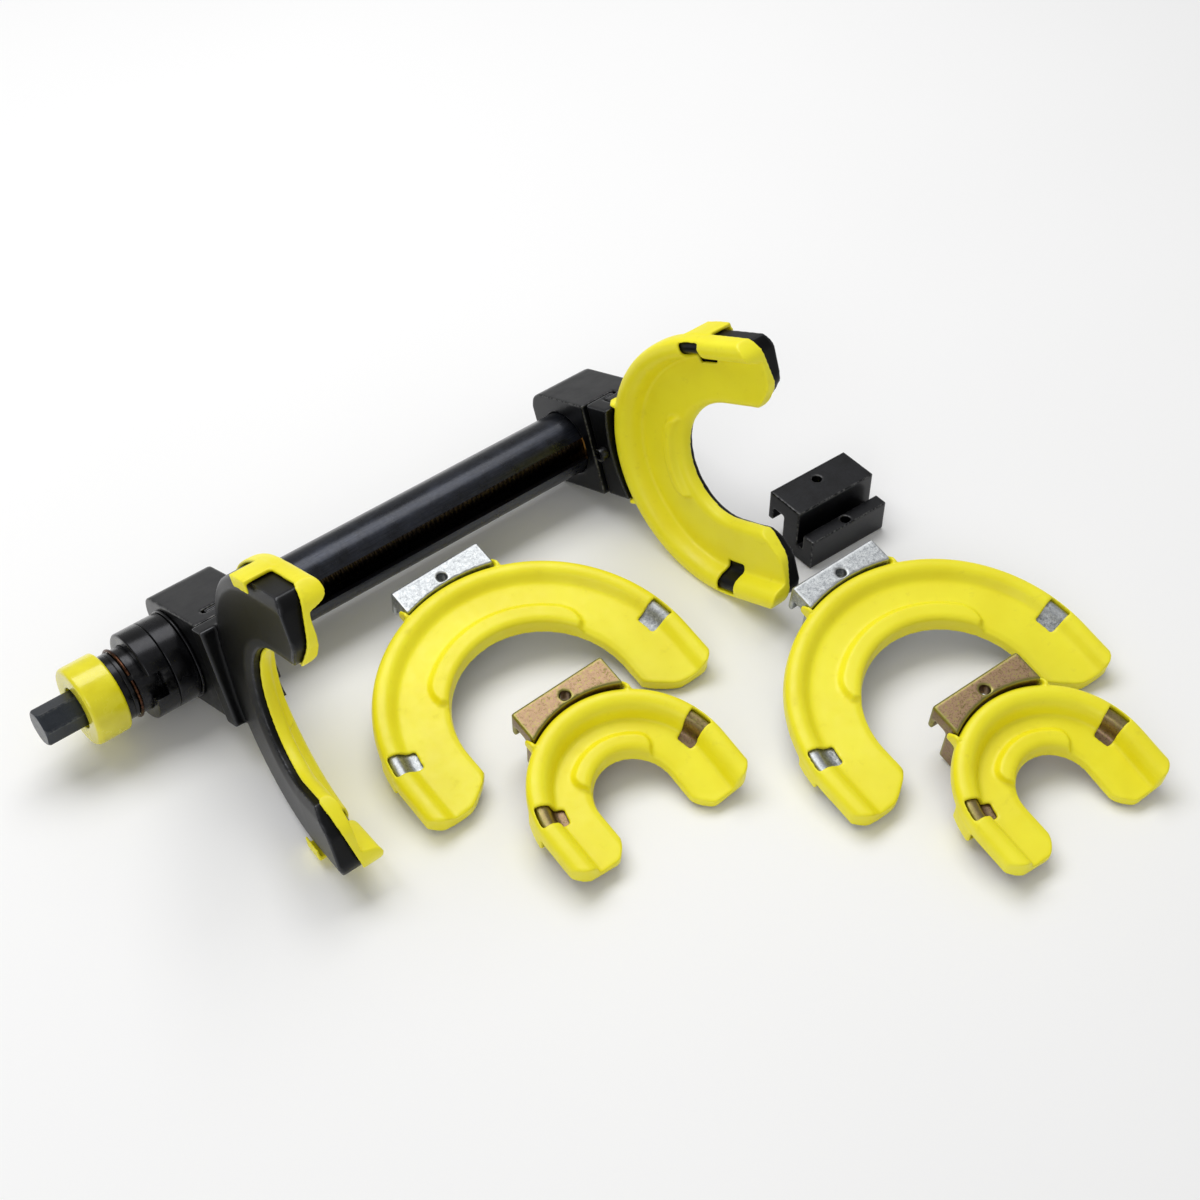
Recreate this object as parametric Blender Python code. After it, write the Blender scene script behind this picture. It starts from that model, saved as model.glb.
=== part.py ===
"""Coil spring compressor kit: telescopic compressor with two yoke jaws fitted,
two large and two small spare jaws, and one adapter block, laid out on the floor.

Lengths are metres, +Z is up, the compressor's tube lies along +X from the drive end.
Tool parts are drawn in the tool's own axes: x along the tube, z towards the jaw
openings, y across. Jaw parts are drawn in jaw axes: x towards the opening of the C,
y towards the right arm, z out of the seat, with the block's top face at z = 0.
"""
import math

import bmesh
import bpy
from mathutils import Matrix, Vector

MM = 0.001

# ---------------------------------------------------------------- clearances
GAP = 0.30 * MM            # between pieces that touch
HOOK_GAP = 0.50 * MM       # each side of a rail inside a block's notch

# ---------------------------------------------------------------- tube and spindle
TUBE_R = 24.0 * MM
TUBE_BORE_R = 19.0 * MM
TUBE_START = 96.5 * MM
TUBE_END = 488.0 * MM
TUBE_SLOT_W = 17.0 * MM
TUBE_SLOT = (156.0 * MM, TUBE_END - 14.0 * MM)

HEX_AF = 22.0 * MM
HEX_LEN = 34.0 * MM
JOURNAL_R = 11.8 * MM
FLANGE_R = 16.5 * MM
SPINDLE_R = 10.5 * MM
PIN_R = 8.0 * MM

RING_R = 27.6 * MM
RING_X = (26.7 * MM, 50.7 * MM)
SLEEVE_R = 22.9 * MM
SLEEVE_X = (51.0 * MM, 76.0 * MM)
SNAP_X = 60.2 * MM
SNAP_WIRE_R = 1.1 * MM
SNAP_R = 23.6 * MM
COLLAR_R = 30.75 * MM
COLLAR_X = (68.6 * MM, 84.1 * MM)
HOUSING_X = (84.4 * MM, 99.5 * MM)
RETAINER_R = 31.6 * MM
RETAINER_X = (99.8 * MM, 101.7 * MM)

# ---------------------------------------------------------------- rail and hook, one fit for all
BLOCK_W = 71.0 * MM        # width of every block, carrier and adapter
RAIL_T = 10.1 * MM
SLOT_T = 5.9 * MM
RAIL_H = 12.9 * MM         # rail above the bottom of its slot
LIP_T = 4.5 * MM
LIP_LEN = 24.0 * MM        # lip below the block's top face
ROOF_T = 12.9 * MM         # block above the notch
BLOCK_H = 41.0 * MM
SCREW_HOLE_R = 3.6 * MM

# ---------------------------------------------------------------- carriers
WALL_U = 33.0 * MM         # flat wall the lip stands beside, from the tube axis
CARRIER_BACK = 33.0 * MM
CARRIER_LEN = 48.0 * MM
CARRIER_BORE_R = TUBE_R + GAP
FIXED_X = 102.0 * MM       # drive-end face of the fixed carrier
FIXED_BASE = 12.0 * MM
TRAVEL_X = TUBE_END - 59.0 * MM      # spring-side face of the travelling carrier at rest
TRAVEL_BASE = 19.0 * MM
NUT_X = (TRAVEL_X + 3.0 * MM, TRAVEL_X + 45.0 * MM)
KEY_X = (TRAVEL_X + 11.0 * MM, TRAVEL_X + 37.0 * MM)

# ---------------------------------------------------------------- jaws
COVER_T = 2.5 * MM
SKIRT = 8.0 * MM           # deepest inner skirt of a cover
TIP_GAP = 1.3 * MM         # between the end of an arm and the cover's end wall
# outer and inner radius of the forged plate, arm length past the centre,
# wall above the seat, chamfer along and across the tip, depth of the block,
# lean of the seat, height of the rim below the block's top face, seat rise per radian,
# start and end of the window along an arm
JAW_SIZES = {
    "large": dict(ro=113.0 * MM, ri=67.0 * MM, arm=29.0 * MM, wall=6.5 * MM,
                  cut_u=13.0 * MM, cut_w=18.0 * MM, depth=24.5 * MM, lean=0.0,
                  rim=1.5 * MM, seat_t=7.0 * MM, helix=-5.6 * MM,
                  window=(-27.0 * MM, -11.0 * MM)),
    "medium": dict(ro=92.2 * MM, ri=44.0 * MM, arm=42.0 * MM, wall=14.0 * MM,
                   cut_u=12.0 * MM, cut_w=15.0 * MM, depth=28.0 * MM, lean=0.10,
                   rim=4.5 * MM, seat_t=13.0 * MM, helix=-5.0 * MM,
                   window=(-12.3 * MM, 5.3 * MM)),
    "small": dict(ro=67.0 * MM, ri=30.5 * MM, arm=28.0 * MM, wall=13.0 * MM,
                  cut_u=7.5 * MM, cut_w=7.5 * MM, depth=29.0 * MM, lean=0.05,
                  rim=3.0 * MM, seat_t=6.5 * MM, helix=-3.6 * MM,
                  window=(-24.0 * MM, -9.0 * MM)),
}
ARC_STEPS = 12

# ---------------------------------------------------------------- layout on the floor
TOOL_ROLL = 21.32           # degrees the jaws point up from level
TOOL_AXIS_Z = 40.72 * MM
TOOL_ORIGIN = (-0.3694, 0.1092)
FAR = TUBE_END - 488.0 * MM   # pieces beside the tube's far end move with it
# name: (size, x, y, z of the jaw's own centre, heading, pitch, roll in degrees)
LOOSE = {
    "large_jaw_1": ("large", -0.0999, -0.0687, 0.02305, -91.3, 11.06, 5.58),
    "large_jaw_2": ("large", 0.1054 + FAR, -0.2397, 0.02305, -93.2, 11.06, 5.58),
    "small_jaw_1": ("small", -0.1053, -0.1615, 0.03477, -92.2, 9.92, 7.08),
    "small_jaw_2": ("small", 0.0991 + FAR, -0.3298, 0.03477, -94.5, 9.92, 7.08),
}
ADAPTER_AT = (0.1721 + FAR, -0.0277, -2.5)   # x, y, heading in degrees


# ================================================================ helpers
def clear_scene():
    for obj in list(bpy.data.objects):
        bpy.data.objects.remove(obj, do_unlink=True)
    for mesh in list(bpy.data.meshes):
        bpy.data.meshes.remove(mesh)


clear_scene()
KIT = bpy.data.collections.new("coil_spring_compressor")
bpy.context.scene.collection.children.link(KIT)


def linear(hex_colour):
    out = []
    for i in (0, 2, 4):
        c = int(hex_colour[i:i + 2], 16) / 255.0
        out.append(c / 12.92 if c <= 0.04045 else ((c + 0.055) / 1.055) ** 2.4)
    return (out[0], out[1], out[2], 1.0)


def material(name, hex_colour, metallic, roughness):
    mat = bpy.data.materials.new(name)
    mat.use_nodes = True
    bsdf = mat.node_tree.nodes["Principled BSDF"]
    bsdf.inputs["Base Color"].default_value = linear(hex_colour)
    bsdf.inputs["Metallic"].default_value = metallic
    bsdf.inputs["Roughness"].default_value = roughness
    mat.diffuse_color = linear(hex_colour)
    return mat


BLACK_STEEL = material("black_oxide_steel", "1C1D20", 0.9, 0.38)
GREY_STEEL = material("dark_hex_steel", "34363C", 0.9, 0.45)
FORGED_BLACK = material("forged_black_steel", "202020", 0.7, 0.6)
BRIGHT_STEEL = material("bright_steel", "9A9A98", 1.0, 0.3)
SPRING_STEEL = material("spring_steel", "6A4A38", 1.0, 0.35)
BRONZE = material("cast_bronze", "8C6A3C", 1.0, 0.4)
YELLOW_PAINT = material("yellow_paint", "DAD520", 0.0, 0.25)
YELLOW_PLASTIC = material("yellow_moulded_plastic", "F4EA30", 0.0, 0.4)
ZINC = material("zinc_plate_clear", "C4C8CC", 1.0, 0.35)
GOLD_ZINC = material("zinc_plate_yellow_passivated", "B08A60", 1.0, 0.4)


def new_object(name, mesh, mat=None, matrix=None):
    obj = bpy.data.objects.new(name, mesh)
    KIT.objects.link(obj)
    if mat is not None:
        mesh.materials.clear()
        mesh.materials.append(mat)
    if matrix is not None:
        obj.matrix_world = matrix
    return obj


def mesh_from(bm, name):
    bmesh.ops.recalc_face_normals(bm, faces=bm.faces)
    mesh = bpy.data.meshes.new(name)
    bm.to_mesh(mesh)
    bm.free()
    return mesh


def loft(name, rings, closed=False, strip=False):
    """Skin through rings of points; the ends are capped unless the path closes.

    A strip ring is one line of points followed by its partner line, reversed;
    its ends are capped rung by rung, so they need not be flat.
    """
    bm = bmesh.new()
    rows = [[bm.verts.new(p) for p in ring] for ring in rings]
    count = len(rows[0])
    pairs = list(zip(rows, rows[1:]))
    if closed:
        pairs.append((rows[-1], rows[0]))
    for a, b in pairs:
        for i in range(count):
            j = (i + 1) % count
            bm.faces.new((a[i], a[j], b[j], b[i]))
    if strip:
        for row in (rows[0], rows[-1]):
            for i in range(count // 2 - 1):
                bm.faces.new((row[i], row[i + 1], row[count - 2 - i], row[count - 1 - i]))
    elif not closed:
        bm.faces.new(rows[0])
        bm.faces.new(list(reversed(rows[-1])))
    bm.normal_update()
    caps = [f for f in bm.faces if len(f.verts) > 4]
    bmesh.ops.triangulate(bm, faces=caps)
    return mesh_from(bm, name)


def circle(x, r, steps):
    return [Vector((x, r * math.cos(2 * math.pi * i / steps),
                    r * math.sin(2 * math.pi * i / steps))) for i in range(steps)]


def turned(name, profile, steps=32):
    """Solid of revolution about x with no bore, from (x, r) pairs."""
    return loft(name, [circle(x, r, steps) for x, r in profile])


def bored(name, profile, steps=32):
    """Ring of revolution about x, from a closed loop of (x, r) pairs."""
    rings = []
    for i in range(steps):
        a = 2 * math.pi * i / steps
        rings.append([Vector((x, r * math.cos(a), r * math.sin(a))) for x, r in profile])
    return loft(name, rings, closed=True)


def box(name, lo, hi):
    bm = bmesh.new()
    bmesh.ops.create_cube(bm, size=1.0)
    for v in bm.verts:
        for k in range(3):
            v.co[k] = lo[k] if v.co[k] < 0 else hi[k]
    return mesh_from(bm, name)


def cylinder(name, r, lo, hi, axis, at=(0.0, 0.0), steps=24):
    """Plain cylinder along x or z, centred on the other two coordinates."""
    rings = []
    for h in (lo, hi):
        ring = []
        for i in range(steps):
            a = 2 * math.pi * (i + 0.5) / steps
            p, q = at[0] + r * math.cos(a), at[1] + r * math.sin(a)
            ring.append(Vector((h, p, q)) if axis == "x" else Vector((p, q, h)))
        rings.append(ring)
    return loft(name, rings)


def extruded(name, outline, lo, hi, axis):
    """Prism of a closed outline; axis x takes (y, z) pairs, axis y takes (x, z)."""
    rings = []
    for h in (lo, hi):
        if axis == "x":
            rings.append([Vector((h, p, q)) for p, q in outline])
        else:
            rings.append([Vector((p, h, q)) for p, q in outline])
    return loft(name, rings)


def combine(mesh, other, operation):
    """Bake one exact boolean of two meshes and give back the new mesh."""
    body = bpy.data.objects.new("body", mesh)
    tool = bpy.data.objects.new("tool", other)
    scene = bpy.context.scene.collection
    scene.objects.link(body)
    scene.objects.link(tool)
    mod = body.modifiers.new("combine", "BOOLEAN")
    mod.operation = operation
    mod.solver = "EXACT"
    mod.object = tool
    deps = bpy.context.evaluated_depsgraph_get()
    deps.update()
    baked = bpy.data.meshes.new_from_object(body.evaluated_get(deps))
    baked.name = mesh.name
    bm = bmesh.new()
    bm.from_mesh(baked)
    bmesh.ops.remove_doubles(bm, verts=bm.verts, dist=0.000001)
    bm.to_mesh(baked)
    bm.free()
    bpy.data.objects.remove(body, do_unlink=True)
    bpy.data.objects.remove(tool, do_unlink=True)
    return baked


def cut(mesh, *cutters):
    for cutter in cutters:
        mesh = combine(mesh, cutter, "DIFFERENCE")
    return mesh


def join(mesh, *others):
    for other in others:
        mesh = combine(mesh, other, "UNION")
    return mesh


# ================================================================ tool frame
TOOL = (Matrix.Translation((TOOL_ORIGIN[0], TOOL_ORIGIN[1], TOOL_AXIS_Z))
        @ Matrix.Rotation(math.radians(90.0 - TOOL_ROLL), 4, "X"))


# ================================================================ spindle and drive end
def hex_radius(angle, af):
    third = math.pi / 3
    return (af / 2) / math.cos((angle + third / 2) % third - third / 2)


def spindle_mesh():
    steps = 24

    def hex_ring(x, af):
        ring = []
        for i in range(steps):
            a = 2 * math.pi * i / steps
            r = hex_radius(a, af)
            ring.append(Vector((x, r * math.cos(a), r * math.sin(a))))
        return ring

    rings = [hex_ring(0.0, HEX_AF - 3.4 * MM), hex_ring(1.6 * MM, HEX_AF),
             hex_ring(HEX_LEN, HEX_AF)]
    for x, r in ((HEX_LEN, JOURNAL_R), (78.5 * MM, JOURNAL_R), (78.5 * MM, FLANGE_R),
                 (83.5 * MM, FLANGE_R), (83.5 * MM, SPINDLE_R), (TUBE_END - 11.5 * MM, SPINDLE_R),
                 (TUBE_END - 11.5 * MM, PIN_R), (TUBE_END - 3.0 * MM, PIN_R),
                 (TUBE_END - 2.0 * MM, PIN_R - 1.0 * MM)):
        rings.append(circle(x, r, steps))
    # steps in diameter are square shoulders: move each second ring by a hair
    for a, b in zip(rings, rings[1:]):
        if abs(a[0].x - b[0].x) < 1e-9:
            for p in b:
                p.x += 0.02 * MM
    return loft("spindle", rings)


def ring_profile(x0, x1, outer, bore, chamfer):
    return [(x0, bore), (x0, outer - chamfer), (x0 + chamfer, outer),
            (x1 - chamfer, outer), (x1, outer - chamfer), (x1, bore)]


new_object("spindle", spindle_mesh(), GREY_STEEL, TOOL)

drive_ring = bored("drive_ring", [
    (RING_X[0], 14.6 * MM), (RING_X[0], RING_R - 2.2 * MM), (RING_X[0] + 1.2 * MM, RING_R - 0.5 * MM),
    (RING_X[0] + 2.6 * MM, RING_R), (RING_X[1] - 1.2 * MM, RING_R), (RING_X[1], RING_R - 1.2 * MM),
    (RING_X[1], 13.1 * MM), (RING_X[0] + 4.0 * MM, 13.1 * MM), (RING_X[0] + 4.0 * MM, 14.6 * MM)],
    steps=44)
new_object("drive_ring", drive_ring, YELLOW_PAINT, TOOL)

groove = (SNAP_X - 1.5 * MM, SNAP_X + 1.5 * MM)
groove_r = SNAP_R - SNAP_WIRE_R - GAP
drive_sleeve = bored("drive_sleeve", [
    (SLEEVE_X[0], JOURNAL_R + GAP), (SLEEVE_X[0], SLEEVE_R - 0.8 * MM),
    (SLEEVE_X[0] + 0.8 * MM, SLEEVE_R), (groove[0], SLEEVE_R), (groove[0], groove_r),
    (groove[1], groove_r), (groove[1], SLEEVE_R), (SLEEVE_X[1], SLEEVE_R),
    (SLEEVE_X[1], JOURNAL_R + GAP)], steps=40)
new_object("drive_sleeve", drive_sleeve, BLACK_STEEL, TOOL)


def snap_ring_mesh():
    rings = []
    steps = 36
    gap_angle = math.radians(9.0)
    start = math.radians(62.0) + gap_angle / 2
    for i in range(steps + 1):
        a = start + (2 * math.pi - gap_angle) * i / steps
        ring = []
        for k in range(8):
            b = 2 * math.pi * k / 8
            r = SNAP_R + SNAP_WIRE_R * math.cos(b)
            ring.append(Vector((SNAP_X + SNAP_WIRE_R * math.sin(b), r * math.cos(a), r * math.sin(a))))
        rings.append(ring)
    return loft("snap_ring", rings)


new_object("snap_ring", snap_ring_mesh(), SPRING_STEEL, TOOL)

collar = bored("bearing_collar", [
    (COLLAR_X[0], SLEEVE_R + GAP), (COLLAR_X[0], COLLAR_R - 0.9 * MM),
    (COLLAR_X[0] + 0.9 * MM, COLLAR_R), (COLLAR_X[1] - 0.4 * MM, COLLAR_R),
    (COLLAR_X[1], COLLAR_R - 0.4 * MM), (COLLAR_X[1], 17.0 * MM),
    (SLEEVE_X[1] + GAP, 17.0 * MM), (SLEEVE_X[1] + GAP, SLEEVE_R + GAP)], steps=44)
notch_turn = Matrix.Rotation(math.radians(-38.0), 4, "X")
notch = box("notch", (COLLAR_X[0] - 1.0 * MM, -9.0 * MM, SLEEVE_R - 2.0 * MM),
            (COLLAR_X[0] + 8.5 * MM, 9.0 * MM, COLLAR_R + 2.0 * MM))
notch.transform(notch_turn)
collar = cut(collar, notch)
new_object("bearing_collar", collar, BLACK_STEEL, TOOL)

housing = bored("bearing_housing", [
    (HOUSING_X[0], 19.0 * MM), (HOUSING_X[0], COLLAR_R - 0.4 * MM),
    (HOUSING_X[0] + 0.4 * MM, COLLAR_R), (HOUSING_X[1] - 0.4 * MM, COLLAR_R),
    (HOUSING_X[1], COLLAR_R - 0.4 * MM), (HOUSING_X[1], TUBE_R + GAP),
    (TUBE_START - GAP, TUBE_R + GAP), (TUBE_START - GAP, 13.0 * MM),
    (94.7 * MM, 13.0 * MM), (94.7 * MM, 19.0 * MM)], steps=44)
new_object("bearing_housing", housing, BLACK_STEEL, TOOL)
new_object("retaining_ring", bored("retaining_ring", ring_profile(
    RETAINER_X[0], RETAINER_X[1], RETAINER_R, TUBE_R + GAP, 0.5 * MM), 44), BLACK_STEEL, TOOL)

new_object("thrust_race_front", bored("thrust_race_front", ring_profile(
    83.9 * MM, 86.3 * MM, 16.7 * MM, 12.2 * MM, 0.3 * MM), 28), BRIGHT_STEEL, TOOL)
new_object("thrust_roller_cage", bored("thrust_roller_cage", ring_profile(
    86.6 * MM, 91.6 * MM, 18.3 * MM, 12.6 * MM, 0.6 * MM), 28), BRONZE, TOOL)
new_object("thrust_race_rear", bored("thrust_race_rear", ring_profile(
    91.9 * MM, 94.4 * MM, 18.6 * MM, 12.2 * MM, 0.3 * MM), 28), BRIGHT_STEEL, TOOL)

# ================================================================ tube
tube = bored("slotted_tube", [
    (TUBE_START, TUBE_BORE_R), (TUBE_START, TUBE_R - 0.5 * MM), (TUBE_START + 0.5 * MM, TUBE_R),
    (TUBE_END - 0.5 * MM, TUBE_R), (TUBE_END, TUBE_R - 0.5 * MM), (TUBE_END, TUBE_BORE_R)], steps=48)
slot = box("slot", (TUBE_SLOT[0], -TUBE_SLOT_W / 2, 10.0 * MM),
           (TUBE_SLOT[1], TUBE_SLOT_W / 2, TUBE_R + 5.0 * MM))
tube = cut(tube, slot)
new_object("slotted_tube", tube, BLACK_STEEL, TOOL)

plug = bored("end_plug", [
    (TUBE_END - 10.8 * MM, PIN_R + GAP), (TUBE_END - 10.8 * MM, TUBE_BORE_R - GAP),
    (TUBE_END + GAP, TUBE_BORE_R - GAP), (TUBE_END + GAP, TUBE_R - 0.3 * MM),
    (TUBE_END + 5.0 * MM, TUBE_R - 0.3 * MM), (TUBE_END + 6.0 * MM, TUBE_R - 1.3 * MM),
    (TUBE_END + 6.0 * MM, PIN_R - 2.0 * MM), (TUBE_END - 1.0 * MM, PIN_R - 2.0 * MM),
    (TUBE_END - 1.0 * MM, PIN_R + GAP)], steps=32)
new_object("end_plug", plug, BLACK_STEEL, TOOL)


# ================================================================ carriers
def carrier_outline():
    """Carrier seen along the tube: rounded back corners, flat jaw side."""
    half = BLOCK_W / 2
    front = WALL_U + SLOT_T + RAIL_T
    r = 15.0 * MM
    pts = [(-half, front), (half, front)]
    for sign in (1, -1):
        arc = []
        for i in range(7):
            a = math.radians(15.0 * i)
            arc.append((sign * (half - r + r * math.cos(a)), -(CARRIER_BACK - r + r * math.sin(a))))
        pts += arc if sign > 0 else arc[::-1]
    return pts


def carrier(name, x0, facing, base):
    """facing is +1 when the open side of the slot looks along +x."""
    x1 = x0 + CARRIER_LEN
    body = extruded(name, carrier_outline(), x0, x1, "x")
    wide = BLOCK_W
    rail_u = WALL_U + SLOT_T
    if facing > 0:
        slot_x = (x0 + base, x1 + 5.0 * MM)
        rail_x = (x0 + base + RAIL_H, x1 + 5.0 * MM)
        hole_x = (rail_x[0] - 11.0 * MM, rail_x[0] + 3.0 * MM)
    else:
        slot_x = (x0 - 5.0 * MM, x1 - base)
        rail_x = (x0 - 5.0 * MM, x1 - base - RAIL_H)
        hole_x = (rail_x[1] - 3.0 * MM, rail_x[1] + 11.0 * MM)
    cutters = [
        box("slot", (slot_x[0], -wide, WALL_U), (slot_x[1], wide, rail_u)),
        box("rail_top", (rail_x[0], -wide, rail_u - 1.0 * MM), (rail_x[1], wide, 0.080)),
        cylinder("bore", CARRIER_BORE_R, x0 - 5.0 * MM, x1 + 5.0 * MM, "x", steps=40),
        cylinder("screw_hole", SCREW_HOLE_R, hole_x[0], hole_x[1], "x",
                 at=(0.0, rail_u + RAIL_T / 2), steps=16),
    ]
    return cut(body, *cutters)


new_object("fixed_carrier", carrier("fixed_carrier", FIXED_X, 1, FIXED_BASE), BLACK_STEEL, TOOL)
key_pocket = box("pocket", (KEY_X[0] - GAP, -8.0 * MM - GAP, 10.0 * MM),
                 (KEY_X[1] + GAP, 8.0 * MM + GAP, 29.0 * MM + GAP))
travelling = cut(carrier("travelling_carrier", TRAVEL_X, -1, TRAVEL_BASE), key_pocket)
new_object("travelling_carrier", travelling, BLACK_STEEL, TOOL)

nut = bored("spindle_nut", ring_profile(NUT_X[0], NUT_X[1], TUBE_BORE_R - GAP,
                                        SPINDLE_R + GAP, 1.0 * MM), 32)
nut_pocket = box("pocket", (KEY_X[0] - GAP, -8.0 * MM - GAP, 14.0 * MM - GAP),
                 (KEY_X[1] + GAP, 8.0 * MM + GAP, 40.0 * MM))
new_object("spindle_nut", cut(nut, nut_pocket), BRONZE, TOOL)
new_object("nut_key", box("nut_key", (KEY_X[0], -8.0 * MM, 14.0 * MM),
                          (KEY_X[1], 8.0 * MM, 29.0 * MM)), BRIGHT_STEEL, TOOL)


# ================================================================ jaws
def hook_u(size):
    """Outer face of the lip, along the jaw axis from the centre of the C.

    The block is deep enough to hold the cover's rim clear of the rail.
    """
    depth = math.sqrt(size["ro"] ** 2 - (BLOCK_W / 2) ** 2) + size["depth"]
    clear = size["ro"] + COVER_T + 2 * GAP + RAIL_T + LIP_T + HOOK_GAP
    return -max(depth, clear)


def tip_u(size, rho):
    """Length of an arm at one distance from the jaw axis: the inner corner is cut off."""
    end = size["arm"]
    inner = size["ri"] + size["cut_w"]
    if rho < inner:
        end -= size["cut_u"] * (inner - rho) / size["cut_w"]
    outer = size["ro"] - 9.0 * MM
    if rho > outer:
        t = (rho - outer) / (9.0 * MM)
        end -= 5.0 * MM * t * t
    return end


def jaw_point(size, station, rho, n):
    """Point of the C: station -1..1 runs round the arc, beyond that along an arm."""
    if abs(station) <= 1.0:
        a = station * math.pi / 2
        u, w = -rho * math.cos(a), rho * math.sin(a)
        turn = a
    else:
        side = 1.0 if station > 0 else -1.0
        along = (abs(station) - 1.0) * tip_u(size, rho)
        u, w = along, side * rho
        turn = side * (math.pi / 2 + along / size["ro"])
    lean = size["lean"] * (u + size["ro"])
    return Vector((u, w, n + size["helix"] * turn - lean))


def jaw_stations(arm_steps=2, end=2.0):
    arc = [-1.0 + 2.0 * i / ARC_STEPS for i in range(ARC_STEPS + 1)]
    arm = [1.0 + (end - 1.0) * (i + 1) / arm_steps for i in range(arm_steps)]
    return [-s for s in reversed(arm)] + arc + arm


def levels(size):
    rim = -size["rim"] - 0.3 * MM
    seat = rim - size["wall"]
    under = seat - size["seat_t"]
    return rim, seat, under


def plate_mesh(name, size):
    ro, ri = size["ro"], size["ri"]
    rim, seat, under = levels(size)
    top = cover_line(size)[1:7] + [(ri + 2.0 * MM, seat), (ri, seat - 2.0 * MM)]
    foot = [(rho, under) for rho, _ in top]
    foot[0] = (ro, under + 2.0 * MM)
    foot[-1] = (ri, under + 2.0 * MM)
    section = top + foot[::-1]
    rings = [[jaw_point(size, s, rho, n) for rho, n in section] for s in jaw_stations()]
    plate = loft(name, rings, strip=True)
    # block: lip, notch and body in side view, then shaped to the rim
    hook = hook_u(size)
    half = BLOCK_W / 2
    front = -math.sqrt(ro ** 2 - half ** 2) + 1.0 * MM
    back_wall = hook + LIP_T + RAIL_T + 2 * HOOK_GAP
    c = 1.2 * MM
    outline = [(hook + c, 0.0), (hook, -c), (hook, -LIP_LEN), (hook + LIP_T, -LIP_LEN),
               (hook + LIP_T, -ROOF_T), (back_wall, -ROOF_T), (back_wall, -BLOCK_H),
               (front, -BLOCK_H), (front, 0.0)]
    block = extruded("block", outline, -half, half, "y")
    shelf = max(rim - 15.0 * MM, under + 0.8 * MM)
    upper = cylinder("upper", ro + COVER_T + 3 * GAP, shelf, 0.02, "z", steps=64)
    lower = cylinder("lower", ro - 8.0 * MM, -0.1, shelf + 1.0 * MM, "z", steps=48)
    block = cut(block, upper, lower)
    hole = cylinder("hole", SCREW_HOLE_R, -BLOCK_H, 0.02, "z",
                    at=(hook + LIP_T + HOOK_GAP + RAIL_T / 2, 0.0), steps=16)
    return cut(join(plate, block), hole)


def cover_line(size):
    """Line over the plate the cover lies on, from the outer skirt to the inner edge."""
    ro, ri = size["ro"], size["ri"]
    rim, seat, _ = levels(size)
    return [(ro, rim - 10.5 * MM), (ro, rim - 2.5 * MM), (ro - 2.5 * MM, rim), (ro - 6.5 * MM, rim),
            (ro - 9.5 * MM, rim - 3.5 * MM), (ro - 11.5 * MM, seat + 1.5 * MM),
            (ro - 14.0 * MM, seat), (ri + 17.0 * MM, seat), (ri + 14.0 * MM, seat),
            (ri + 5.0 * MM, seat), (ri + 2.0 * MM, seat), (ri, seat - 2.0 * MM),
            (ri, seat - min(size["seat_t"], SKIRT) + 1.5 * MM)]


def offset_line(line, d):
    """Line moved sideways by d, away from the plate."""
    out = []
    for i, (x, y) in enumerate(line):
        a = line[max(i - 1, 0)]
        b = line[min(i + 1, len(line) - 1)]
        p = line[i]
        dirs = []
        for q0, q1 in ((a, p), (p, b)):
            dx, dy = q1[0] - q0[0], q1[1] - q0[1]
            length = math.hypot(dx, dy)
            if length > 0:
                dirs.append((dx / length, dy / length))
        nx = sum(v[1] for v in dirs)
        ny = -sum(v[0] for v in dirs)
        length = math.hypot(nx, ny)
        nx, ny = nx / length, ny / length
        cosine = nx * dirs[0][1] - ny * dirs[0][0]
        out.append((x + nx * d / cosine, y + ny * d / cosine))
    return out


RIDGE_FROM, RIDGE_UP = 8, 5.0 * MM   # first point of the cover line that the ridge lifts


def ridge(size, station):
    """Height of the crescent ridge on the inner edge, faded out at both ends."""
    t = (0.60 - abs(station)) / 0.14
    t = min(max(t, 0.0), 1.0)
    return RIDGE_UP * t * t * (3 - 2 * t)


def shell(name, inner, outer, ends):
    """Channel-shaped shell closed at both ends.

    inner and outer are rows of points at each station; ends holds, for the first and
    the last station, the outer line pushed past the tip, and the two foot lines.
    """
    bm = bmesh.new()
    rows_in = [[bm.verts.new(p) for p in row] for row in inner]
    rows_out = [[bm.verts.new(p) for p in row] for row in outer]
    n = len(rows_in[0])

    def strip(a, b):
        for i in range(n - 1):
            bm.faces.new((a[i], a[i + 1], b[i + 1], b[i]))

    for k in range(len(rows_in) - 1):
        strip(rows_in[k], rows_in[k + 1])
        strip(rows_out[k], rows_out[k + 1])
        for i in (0, n - 1):
            bm.faces.new((rows_in[k][i], rows_in[k + 1][i], rows_out[k + 1][i], rows_out[k][i]))
    for (past, foot_in, foot_out), k in zip(ends, (0, len(rows_in) - 1)):
        past = [bm.verts.new(p) for p in past]
        foot_in = [bm.verts.new(p) for p in foot_in]
        foot_out = [bm.verts.new(p) for p in foot_out]
        strip(rows_in[k], foot_in)
        strip(rows_out[k], past)
        strip(past, foot_out)
        strip(foot_out, foot_in)
        for i in (0, n - 1):
            bm.faces.new((rows_in[k][i], foot_in[i], past[i]))
            bm.faces.new((rows_in[k][i], past[i], rows_out[k][i]))
            bm.faces.new((foot_in[i], foot_out[i], past[i]))
    bm.normal_update()
    bmesh.ops.triangulate(bm, faces=bm.faces)
    return mesh_from(bm, name)


def arm_piece(name, size, side, span, section):
    """Short length of one section, following the curve of an arm."""
    rings = []
    for i in range(3):
        u = span[0] + (span[1] - span[0]) * i / 2
        reach = size["ro"] * math.pi / 2 if u < 0 else size["arm"]
        station = side * (1.0 + u / reach)
        rings.append([jaw_point(size, station, rho, n) for rho, n in section])
    return loft(name, rings)


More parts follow.
